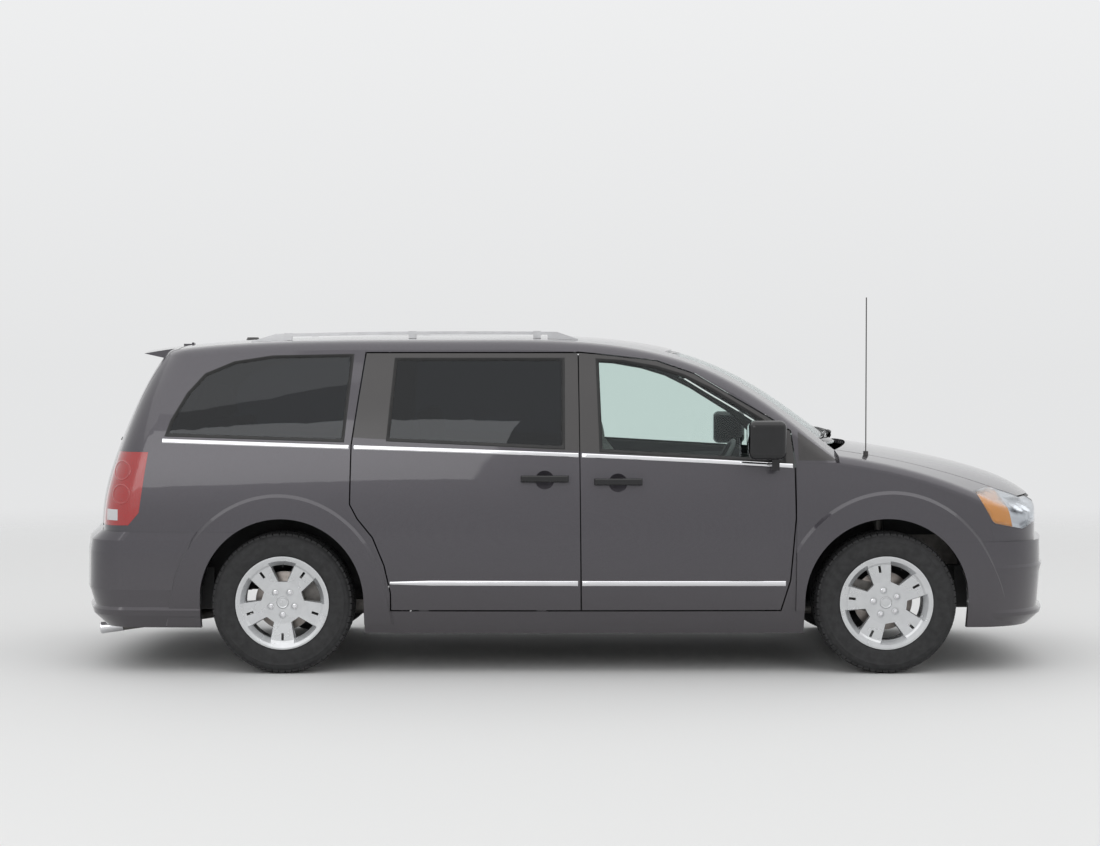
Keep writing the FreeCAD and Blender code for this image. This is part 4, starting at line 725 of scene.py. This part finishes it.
# tail lamps: raised rings on the lens and a white panel low at the back
tailLook = {"rings": [(-2.270, 1.035, 0.047), (-2.268, 0.915, 0.047)], "panel": (-2.352, -2.285, 0.782, 0.838),
    "ringSection": ((0.90, 0.0002), (0.94, 0.0016), (1.0, 0.0020), (1.06, 0.0016), (1.10, 0.0002)),
    "edgeLift": 0.0002, "panelLift": 0.0018}
tailSurface = surfaceOf("tail_lamps")


def tailPoint(x, z, side, lift):
    point, normal = sidePoint(tailSurface, x, z, side)
    return point + normal * lift


for sideName, side in sides.items():
    rings = []
    for cx, cz, radius in tailLook["rings"]:
        vertices = [tailPoint(cx + radius * reach * c, cz + radius * reach * s, side, lift)
            for c, s in circle(48) for reach, lift in tailLook["ringSection"]]
        rings.append(rawMesh(vertices, gridFaces(48, 5, closedRows=True, flipped=side > 0)))
    pieceOf(f"tailRings_{sideName}", rings, "body", "lampRed")
    x0, x1, z0, z1 = tailLook["panel"]
    vertices = []
    for i in range(13):
        for j in range(9):
            lift = tailLook["edgeLift" if i in (0, 12) or j in (0, 8) else "panelLift"]
            vertices.append(tailPoint(x0 + (x1 - x0) * i / 12, z0 + (z1 - z0) * j / 8, side, lift))
    panel = rawMesh(vertices, gridFaces(13, 9, rowsFirst=True, flipped=side > 0))
    pieceOf(f"reverseLens_{sideName}", panel, "body", "lampWhite")
print("stage: lamps")

# Seats: crowned pads with sewn channels, on plastic bases
seatLook = {"floor": 0.322, "hinge": 0.25, "lean": math.radians(-14), "grid": 0.0085, "round": 0.045,
    "channel": 0.0055, "channelWidth": 0.008, "pull": 0.018, "seam": 0.006, "seamLift": 0.0004,
    "stitchPitch": 0.0075, "stitchLength": 0.0048, "stitchThick": 0.0011, "postRadius": 0.006}


def padPoint(p, half, crown, bolster, channelsX, channelsY):
    radius = min(seatLook["round"], min(half) * 0.92)
    full = Vector([a * b for a, b in zip(p, half)])
    core = Vector([max(radius - h, min(h - radius, c)) for c, h in zip(full, half)])
    away = full - core
    place = core + away.normalized() * radius if away.length > 1e-9 else full
    u, v = place.x / half[0], place.y / half[1]
    top = max(0.0, min(1.0, (place.z / half[2] - 0.1) / 0.6))
    edge = max(0.0, (abs(v) - 0.52) / 0.48)
    rise = crown * (1 - u * u) * (1 - v * v) + bolster * math.sin(min(1.0, edge) * math.pi) * (1 - 0.5 * u * u)
    width = seatLook["channelWidth"]
    for level in channelsX:
        rise -= seatLook["channel"] * math.exp(-((place.x - level) / width) ** 2) * (1 if abs(v) < 0.6 else 0.2)
    for level in channelsY:
        rise -= seatLook["channel"] * math.exp(-((abs(place.y) - level) / width) ** 2)
    squeeze = seatLook["pull"] * (1 - abs(place.z / half[2]) ** 2)
    place.x *= 1 - squeeze * (1 - v * v)
    place.y *= 1 - squeeze * (1 - u * u)
    place.z += rise * top - crown * 0.9 * top
    return place


# a box of six point grids, each point set by padPoint
def padMesh(frameOf, form):
    counts = [max(4, int(2 * h / seatLook["grid"])) for h in form[0]]
    vertices, faces = [], []
    for axis in range(3):
        a, b = [i for i in range(3) if i != axis]
        for sign in (-1, 1):
            faces += gridFaces(counts[a] + 1, counts[b] + 1, rowsFirst=True, base=len(vertices))
            for i in range(counts[a] + 1):
                for j in range(counts[b] + 1):
                    p = [0.0, 0.0, 0.0]
                    p[axis], p[a], p[b] = sign, 2 * i / counts[a] - 1, 2 * j / counts[b] - 1
                    vertices.append(frameOf @ padPoint(p, *form))
    return cleaned(rawMesh(vertices, faces), 1e-5)


# lines beside the channels, on the pad's top
def seamLines(frameOf, form):
    half, crown, bolster, channelsX, channelsY = form
    seam, steps = seatLook["seam"], [t / 12 for t in range(-12, 13)]
    lines = [[((level + shift) / half[0], t * 0.56) for t in steps] for level in channelsX for shift in (-seam, seam)]
    lines += [[(t * 0.86, sign * (level + seam) / half[1]) for t in steps] for level in channelsY for sign in (-1, 1)]
    lift = Vector((0, 0, seatLook["seamLift"]))
    return [[frameOf @ (padPoint((u, v, 1), *form) + lift) for u, v in line] for line in lines]


# each part: its kind, its place and its form (half sizes, crown, bolster, channels across and along)
def seatParts(x, y, width, floorZ):
    hinge = Vector((x, y, floorZ + seatLook["hinge"]))
    tilt = Matrix.Translation(hinge) @ Matrix.Rotation(seatLook["lean"], 4, "Y") @ Matrix.Translation(-hinge)
    upright = Matrix(((0, 0, 1, 0), (0, -1, 0, 0), (1, 0, 0, 0), (0, 0, 0, 1)))  # turns the pad's top forward
    along = (width / 2 * 0.52,)
    return [("cushion", Matrix.Translation((x + 0.265, y, floorZ + 0.275)),
        ((0.228, width / 2 - 0.004, 0.070), 0.020, 0.022, (-0.07, 0.09), along)),
            ("back", tilt @ Matrix.Translation((x, y, floorZ + 0.575)) @ upright,
        ((0.280, width / 2 - 0.008, 0.056), 0.016, 0.026, (-0.10, 0.03, 0.15), along)),
            ("rest", tilt @ Matrix.Translation((x - 0.005, y, floorZ + 0.950)) @ upright,
        ((0.092, 0.126, 0.042), 0.006, 0.0, (), ()))]


# each row: its seats' x, y and width, its lift over the floor and the node that it replaces
seatRows = {"front": ([(0.330, -0.390, 0.520), (0.330, 0.390, 0.520)], 0.0, "front_seats"),
    "middle": ([(-0.560, -0.390, 0.520), (-0.560, 0.390, 0.520)], 0.0, "middle_seats"),
    "rear": ([(-1.700, -0.285, 0.548), (-1.700, 0.285, 0.548)], 0.130, "bench")}
for rowName, (places, lift, node) in seatRows.items():
    found = {"cushion": [], "back": [], "rest": []}
    seamPoints, seamEdges, bases, posts = [], [], [], []
    floorZ = seatLook["floor"] + lift
    for x, y, width in places:
        restY = 0.0 if rowName == "rear" else y  # the bench has one headrest, in its middle
        for kind, frameOf, form in seatParts(x, y, width, floorZ):
            if kind == "rest" and rowName == "rear":
                if y > 0:
                    continue
                frameOf = Matrix.Translation((0, -y, 0)) @ frameOf
            found[kind].append(padMesh(frameOf, form))
            for line in seamLines(frameOf, form):
                start = len(seamPoints)
                seamPoints += line
                seamEdges += [(start + i, start + i + 1) for i in range(len(line) - 1)]
        for x0, x1, inset, z0, z1, ease in ((0.065, 0.415, 0.07, 0.001, 0.205, 0.018),
                (-0.030, 0.470, 0.03, 0.165, 0.215, 0.020)):
            reach = width / 2 - inset
            bases.append(easedBox((x + x0, y - reach, floorZ + z0), (x + x1, y + reach, floorZ + z1), ease))
        if rowName != "rear" or y < 0:
            for shift in (-0.06, 0.06):
                ends = [(x + math.sin(seatLook["lean"]) * d, restY + shift,
                    floorZ + seatLook["hinge"] + math.cos(seatLook["lean"]) * d) for d in (0.56, 0.66)]
                posts.append(tubeMesh(ends, [seatLook["postRadius"]] * 2, 10))
    for kind, meshes in found.items():
        piece = pieceOf(f"{rowName}Seat_{kind}", meshes, "body", "seatFabric")
        if kind == "cushion":
            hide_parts(node)
    grown(f"{rowName}Seat_stitches", rawMesh(seamPoints, [], seamEdges), stitchesOnLine, "body", "seatThread",
          Pitch=seatLook["stitchPitch"], Length=seatLook["stitchLength"], Thickness=seatLook["stitchThick"])
    pieceOf(f"{rowName}Seat_base", bases, "body", "dash", smooth=False)
    pieceOf(f"{rowName}Seat_posts", posts, "body", "chrome")
print("stage: seats")

# Linings that follow the inside of a panel: a grid of rays along X and vAxis, eased at its rim
liningLook = {"reach": 1.2, "gap": 0.001, "back": 0.0006, "thick": 0.006, "jump": 0.05}


def liningMesh(surface, origin, way, vAxis, uRange, vRange, step, bulge=None):
    way, vAxis = Vector(way), Vector(vAxis)
    nu, nv = int((uRange[1] - uRange[0]) / step), int((vRange[1] - vRange[0]) / step)
    front, back = {}, {}
    for i in range(nu + 1):
        for j in range(nv + 1):
            u = uRange[0] + (uRange[1] - uRange[0]) * i / nu
            v = vRange[0] + (vRange[1] - vRange[0]) * j / nv
            hit, normal = rayHit(surface, Vector(origin) + Vector((1, 0, 0)) * u + vAxis * v, way, liningLook["reach"])
            if hit is None:
                continue
            ease = 0.35 + 0.65 * min(1.0, min(i, nu - i, j, nv - j) / 1.5)
            swell = bulge(u, v) if bulge else 0.0
            front[i, j] = hit - way * (liningLook["gap"] + liningLook["thick"] * ease + swell)
            back[i, j] = hit - way * liningLook["back"]
    order = {key: index for index, key in enumerate(front)}
    cells = set()
    for i in range(nu):
        for j in range(nv):
            depths = [front[k].dot(way) for k in ((i, j), (i + 1, j), (i, j + 1), (i + 1, j + 1)) if k in front]
            if len(depths) == 4 and max(depths) - min(depths) < liningLook["jump"]:
                cells.add((i, j))
    faces = []
    for i, j in cells:
        near = [order[k] for k in ((i, j), (i + 1, j), (i + 1, j + 1), (i, j + 1))]
        far = [k + len(front) for k in near]
        faces += [near, far[::-1]]
        for a, beside in enumerate(((i, j - 1), (i + 1, j), (i, j + 1), (i - 1, j))):
            if beside not in cells:
                b = (a + 1) % 4
                faces.append([near[a], far[a], far[b], near[b]])
    return cleaned(rawMesh([*front.values(), *back.values()], faces))


# raised rest and lower swell at two levels v, both fading at the ends of u
def armrest(u, v):
    swells = ((0.045, 0.80, 0.045, 0.52, 0.26), (0.022, 0.50, 0.06, 0.55, 0.30))
    return sum(depth * math.exp(-((v - level) / height) ** 2) / (1 + math.exp((abs(u - middle) - reach) / 0.02))
        for depth, level, height, middle, reach in swells)


for sideName, side in sides.items():
    card = liningMesh(panelSurface[f"front_door_{sideName}"], (0, 0, 0), (0, side, 0), (0, 0, 1), (0.145, 0.985),
        (0.40, 1.06), 0.02, armrest)
    pieceOf(f"doorCard_{sideName}", card, f"door_{sideName}", "dash")
    card = liningMesh(panelSurface["sliding_doors"], (0, 0, 0), (0, side, 0), (0, 0, 1), (-0.92, -0.04),
        (0.40, 1.12), 0.02, lambda u, v: armrest(u + 1.0, v))
    pieceOf(f"slidingCard_{sideName}", card, "body", "dash")
liner = liningMesh(surfaceOf("roof"), (0, 0, 1.40), (0, 0, 1), (0, 1, 0), (-1.93, 0.46), (-0.60, 0.60), 0.04)
pieceOf("headliner", liner, "body", "seatFabric")
print("stage: linings")

# Wipers: a blade on a bowed spine, a rubber lip, an arm and its hub
wiperLook = {"rise": 0.012, "bow": 0.006, "bladeRadius": 0.0048, "bladeEnd": 0.002, "lipRadius": 0.0022,
    "armRadii": [0.009, 0.0085, 0.007, 0.0055, 0.0045], "hubRadii": [0.014, 0.013, 0.009]}
windshield, gateGlass = surfaceOf("windshield"), surfaceOf("liftgate_glass")


def fromAbove(x, y):
    return rayHit(windshield, (x, y, 2.2), (0, 0, -1), 1.5)


def fromBehind(y, z):
    return rayHit(gateGlass, (-3.2, y, z), (1, 0, 0), 2.0)


# the windshield's lower edge seen from above
def lowerEdge(y):
    return 1.4715 - 0.263 * y * y


def wiperMeshes(samples, pivot):
    points = [(p, n) for p, n in samples if p is not None]
    last = len(points) - 1
    spine = [p + n * (wiperLook["rise"] + wiperLook["bow"] * math.sin(math.pi * i / last))
        for i, (p, n) in enumerate(points)]
    edge = [(p + n * 0.0016).lerp(s, 0.25) for (p, n), s in zip(points, spine)]
    radii = [wiperLook["bladeEnd"]] + [wiperLook["bladeRadius"]] * (last - 1) + [wiperLook["bladeEnd"]]
    middle, normal = points[len(points) // 2]
    top = middle + normal * 0.024
    armPoints = [pivot, pivot.lerp(top, 0.25) + normal * 0.016, pivot.lerp(top, 0.7) + normal * 0.010, top,
        middle + normal * 0.012]
    hubPoints = [pivot + normal * out for out in (-0.012, 0.004, 0.010)]
    return [tubeMesh(spine, radii, 8), tubeMesh(edge, [wiperLook["lipRadius"]] * len(edge), 6),
            tubeMesh(armPoints, wiperLook["armRadii"], 10), tubeMesh(hubPoints, wiperLook["hubRadii"], 20)]


wiperParts = []
pivot, normal = fromAbove(lowerEdge(-0.03) - 0.020, -0.03)
for y0, y1 in ((-0.60, -0.06), (0.02, 0.60)):
    sweep = [(y0 + (y1 - y0) * k / 16, 0.02 * k / 16) for k in range(17)]
    samples = [fromAbove(lowerEdge(y) - 0.045 - back, y) for y, back in sweep]
    wiperParts += wiperMeshes(samples, pivot + normal * 0.012)
pieceOf("wipers", wiperParts, "body", "blackTrim")
samples = [fromBehind(-0.02 - 0.36 * k / 12, 1.168 + 0.004 * k / 12) for k in range(13)]
pivot, normal = fromBehind(0.0, 1.135)
rearWiper = wiperMeshes(samples, pivot + normal * 0.010)
pieceOf("rearWiper", rearWiper, "liftgate", "blackTrim")

# printed black edge on the windshield's outer face: its outline seen from above, then three points inward
edgeLook = {"steps": (0.008, 0.029, 0.050), "lift": 0.0004, "wall": 0.0006, "middleX": 0.99,
    "lowCorner": (1.334, 0.724), "highCorner": (0.517, 0.592)}
(lowX, lowY), (highX, highY) = edgeLook["lowCorner"], edgeLook["highCorner"]
shares = [k / 14 for k in range(1, 14)]
edgeLine = [(lowerEdge(y), y) for y in [-0.72 + 0.06 * k for k in range(25)]]
edgeLine += [(lowX - (lowX - highX) * share, lowY - (lowY - highY) * share) for share in shares]
edgeLine += [(0.587 - 0.1997 * y * y, y) for y in [highY - 0.0592 * k for k in range(21)]]
edgeLine += [(highX + (lowX - highX) * share, -highY - (lowY - highY) * share) for share in shares]
rows = []
for x, y in edgeLine:
    inward = Vector((edgeLook["middleX"] - x, -y)).normalized()
    inward = [math.copysign(min(1.0, abs(part) * 1.2), part) for part in inward]
    found = [fromAbove(x + inward[0] * step, y + inward[1] * step) for step in edgeLook["steps"]]
    rows.append([point + normal * edgeLook["lift"] if point else None for point, normal in found])
polygons = []
for first, second in zip(rows, rows[1:] + rows[:1]):
    for j in range(2):
        corners = [first[j], second[j], second[j + 1], first[j + 1]]
        if all(corner is not None for corner in corners):
            polygons.append(corners)
edge = pieceOf("windshieldEdge", polygonMesh(polygons), "body", "glossBlack")
thickened(edge, edgeLook["wall"], 0.0)

# Mirror glass: a shallow dome inside a rounded rectangle
mirrorLook = {"x": 0.9086, "y": 1.0875, "z": 1.199, "halfY": 0.040, "halfZ": 0.074, "dome": 0.0025, "points": 40,
    "rings": 5}
for sideName, side in sides.items():
    count, rings = mirrorLook["points"], mirrorLook["rings"]
    vertices = [(mirrorLook["x"] - mirrorLook["dome"], side * mirrorLook["y"], mirrorLook["z"])]
    for share in [(ring + 1) / rings for ring in range(rings)]:
        for c, s in circle(count):
            reach = (abs(c) ** 4 + abs(s) ** 4) ** -0.25 * share
            vertices.append((mirrorLook["x"] - mirrorLook["dome"] * (1 - share ** 2),
                side * (mirrorLook["y"] + mirrorLook["halfY"] * c * reach),
                mirrorLook["z"] + mirrorLook["halfZ"] * s * reach))
    faces = [(0, 1 + k, 1 + (k + 1) % count) for k in range(count)]
    faces += gridFaces(rings, count, closedColumns=True, rowsFirst=True, base=1)
    mesh = rawMesh(vertices, faces)
    for face in mesh.polygons:
        if face.normal.x > 0:
            face.flip()
    pieceOf(f"mirrorGlass_{sideName}", mesh, f"door_{sideName}", "mirrorGlass")

# Cabin: screen, instrument cluster, sun visors, vents, wheel hub with keys and inside mirror
cabin = [easedBox((1.004, -0.125, 0.865), (1.016, 0.115, 0.975), 0.005),
    easedBox((1.012, 0.255, 0.955), (1.030, 0.535, 1.030), 0.008)]
cabin += [easedBox((0.560, y, 1.545), (0.700, y + 0.34, 1.560), 0.006) for y in (-0.56, 0.22)]
pieceOf("cabinPanels", cabin, "body", "glossBlack", smooth=False)
vent = easedBox((1.000, -0.150, 0.990), (1.014, 0.140, 0.9935), 0.001, 1)
grown("centreVents", vent, rowOfCopies, "body", "blackTrim", Count=5, Step=(0.006, 0.0, 0.009))
hubTurn = ((0.880, 0.390, 0.985), math.radians(30), "Y")
hub = [easedBox((0.858, 0.312, 0.935), (0.902, 0.468, 1.045), 0.020, 3, hubTurn)]
hub += [easedBox((0.852, y, 0.985), (0.862, y + 0.025, 1.010), 0.003, 2, hubTurn) for y in (0.325, 0.430)]
pieceOf("wheelHub", hub, "body", "dash")
insideMirror = [easedBox((0.640, -0.125, 1.500), (0.662, 0.125, 1.560), 0.009, 3),
    tubeMesh([(0.655, 0, 1.545), (0.690, 0, 1.575), (0.705, 0, 1.590)], [0.006] * 3, 10)]
pieceOf("insideMirror", insideMirror, "body", "blackTrim")

# Radiator fins behind the grille, shields inside the wheel arches, and the tail pipe's bright tip
fin = easedBox((2.407, -0.430, 0.335), (2.419, 0.430, 0.3385), 0.0008, 1)
grown("radiatorFins", fin, rowOfCopies, "body", "castSteel", Count=52, Step=(0.0, 0.0, 0.010))
for label, x0, x1, y in (("rear", -2.020, -1.835, 0.655), ("front", 2.045, 2.200, 0.580)):
    shields = [easedBox((x0, side * y - 0.0025, 0.300), (x1, side * y + 0.0025, 0.520), 0.002) for side in (-1, 1)]
    shield = pieceOf(f"splashShields_{label}", shields, "body", "blackTrim", smooth=False)
tipProfile = [(0.0284, -0.120), (0.0300, -0.116), (0.0306, -0.010), (0.0312, -0.004), (0.0306, 0.001), (0.0285, 0.0005),
    (0.0262, -0.006), (0.0250, -0.100)]
tipAcross, tipWay = Vector((0, 1, 0)), Vector((-0.46, 0.0, -0.062)).normalized()
tip = turnedMesh(tipProfile, (-2.4402, -0.600, 0.194), (tipAcross, tipWay.cross(tipAcross), tipWay), 48, True)
pieceOf("tailPipeTip", tip, "body", "chrome")
print("stage: fittings")

# Camera at the photo's place, pale floor and soft studio light
camera = bpy.data.objects.new("camera", bpy.data.cameras.new("camera"))
collection.objects.link(camera)
camera.location = (-0.082, -11.15, 1.565)
camera.rotation_euler = (math.radians(90 - 1.6), 0, 0)
camera.data.sensor_width = 36.0
camera.data.lens = 65.9
camera.data.clip_end = 200
scene.camera = camera
scene.view_settings.view_transform = "Standard"

studioLook = {"ambient": (0.50, 0.505, 0.51), "floor": (0.80, 0.80, 0.795), "fade": (5.0, 13.0),
    "backdrop": [(0.0, (0.76, 0.765, 0.77)), (0.50, (0.78, 0.785, 0.79)), (0.62, (0.88, 0.885, 0.89)),
    (1.0, (1.0, 1.0, 1.0))]}
# what the camera sees itself, in a mirror or through glass is the backdrop; everything else is lit by the ambient
world = bpy.data.worlds.new("studio")
scene.world = world
world.use_nodes = True
sky = world.node_tree
sky.nodes.clear()
split = nodeIn(sky, "ShaderNodeSeparateXYZ", {"Vector": outOf(sky, "ShaderNodeTexCoord")}).outputs
height = outOf(sky, "ShaderNodeMapRange", {"Value": split["Z"], "From Min": -1.0})
rays = nodeIn(sky, "ShaderNodeLightPath").outputs
seen = mathOf(sky, "MAXIMUM", rays["Is Camera Ray"], rays["Is Glossy Ray"])
seen = mathOf(sky, "MAXIMUM", seen, rays["Is Transmission Ray"])
grounds = [outOf(sky, "ShaderNodeBackground", {"Color": colour})
    for colour in (studioLook["ambient"], rampOf(sky, height, studioLook["backdrop"]))]
nodeIn(sky, "ShaderNodeOutputWorld", {"Surface": blendOf(sky, seen, *grounds)})


def softLight(name, place, target, width, height, power, mirrored=True):
    lamp = bpy.data.lights.new(name, "AREA")
    lamp.shape, lamp.size, lamp.size_y, lamp.energy = "RECTANGLE", width, height, power
    item = bpy.data.objects.new(name, lamp)
    collection.objects.link(item)
    item.location = place
    item.rotation_euler = (Vector(target) - Vector(place)).to_track_quat("-Z", "Y").to_euler()
    item.visible_glossy = mirrored


softLight("overhead", (0.0, 0.0, 10.0), (0.0, 0.0, 0.0), 26.0, 22.0, 1100)
softLight("fill", (-4.5, -10.5, 5.0), (0, 0, 0.8), 8.0, 4.5, 170)
softLight("fillFront", (7.5, -8.5, 4.6), (0.6, 0, 0.8), 6.0, 4.0, 100, False)

# the floor fades out with distance
floorMaterial, tree, place = newMaterial("studioFloor")
reach = nodeIn(tree, "ShaderNodeVectorMath", {0: place}, operation="LENGTH").outputs["Value"]
fade = outOf(tree, "ShaderNodeMapRange", {"Value": reach, "From Min": studioLook["fade"][0],
    "From Max": studioLook["fade"][1]}, interpolation_type="SMOOTHSTEP")
matte = principledOf(tree, {"Base Color": studioLook["floor"], "Roughness": 0.8})
clear = outOf(tree, "ShaderNodeBsdfTransparent")
finished(floorMaterial, blendOf(tree, fade, matte, clear))
floorMesh = rawMesh([(-60, -40, 0), (60, -40, 0), (60, 60, 0), (-60, 60, 0)], [(0, 1, 2, 3)])
floorMesh.materials.append(floorMaterial)
floor = bpy.data.objects.new("floor", floorMesh)
collection.objects.link(floor)
print("stage: studio")
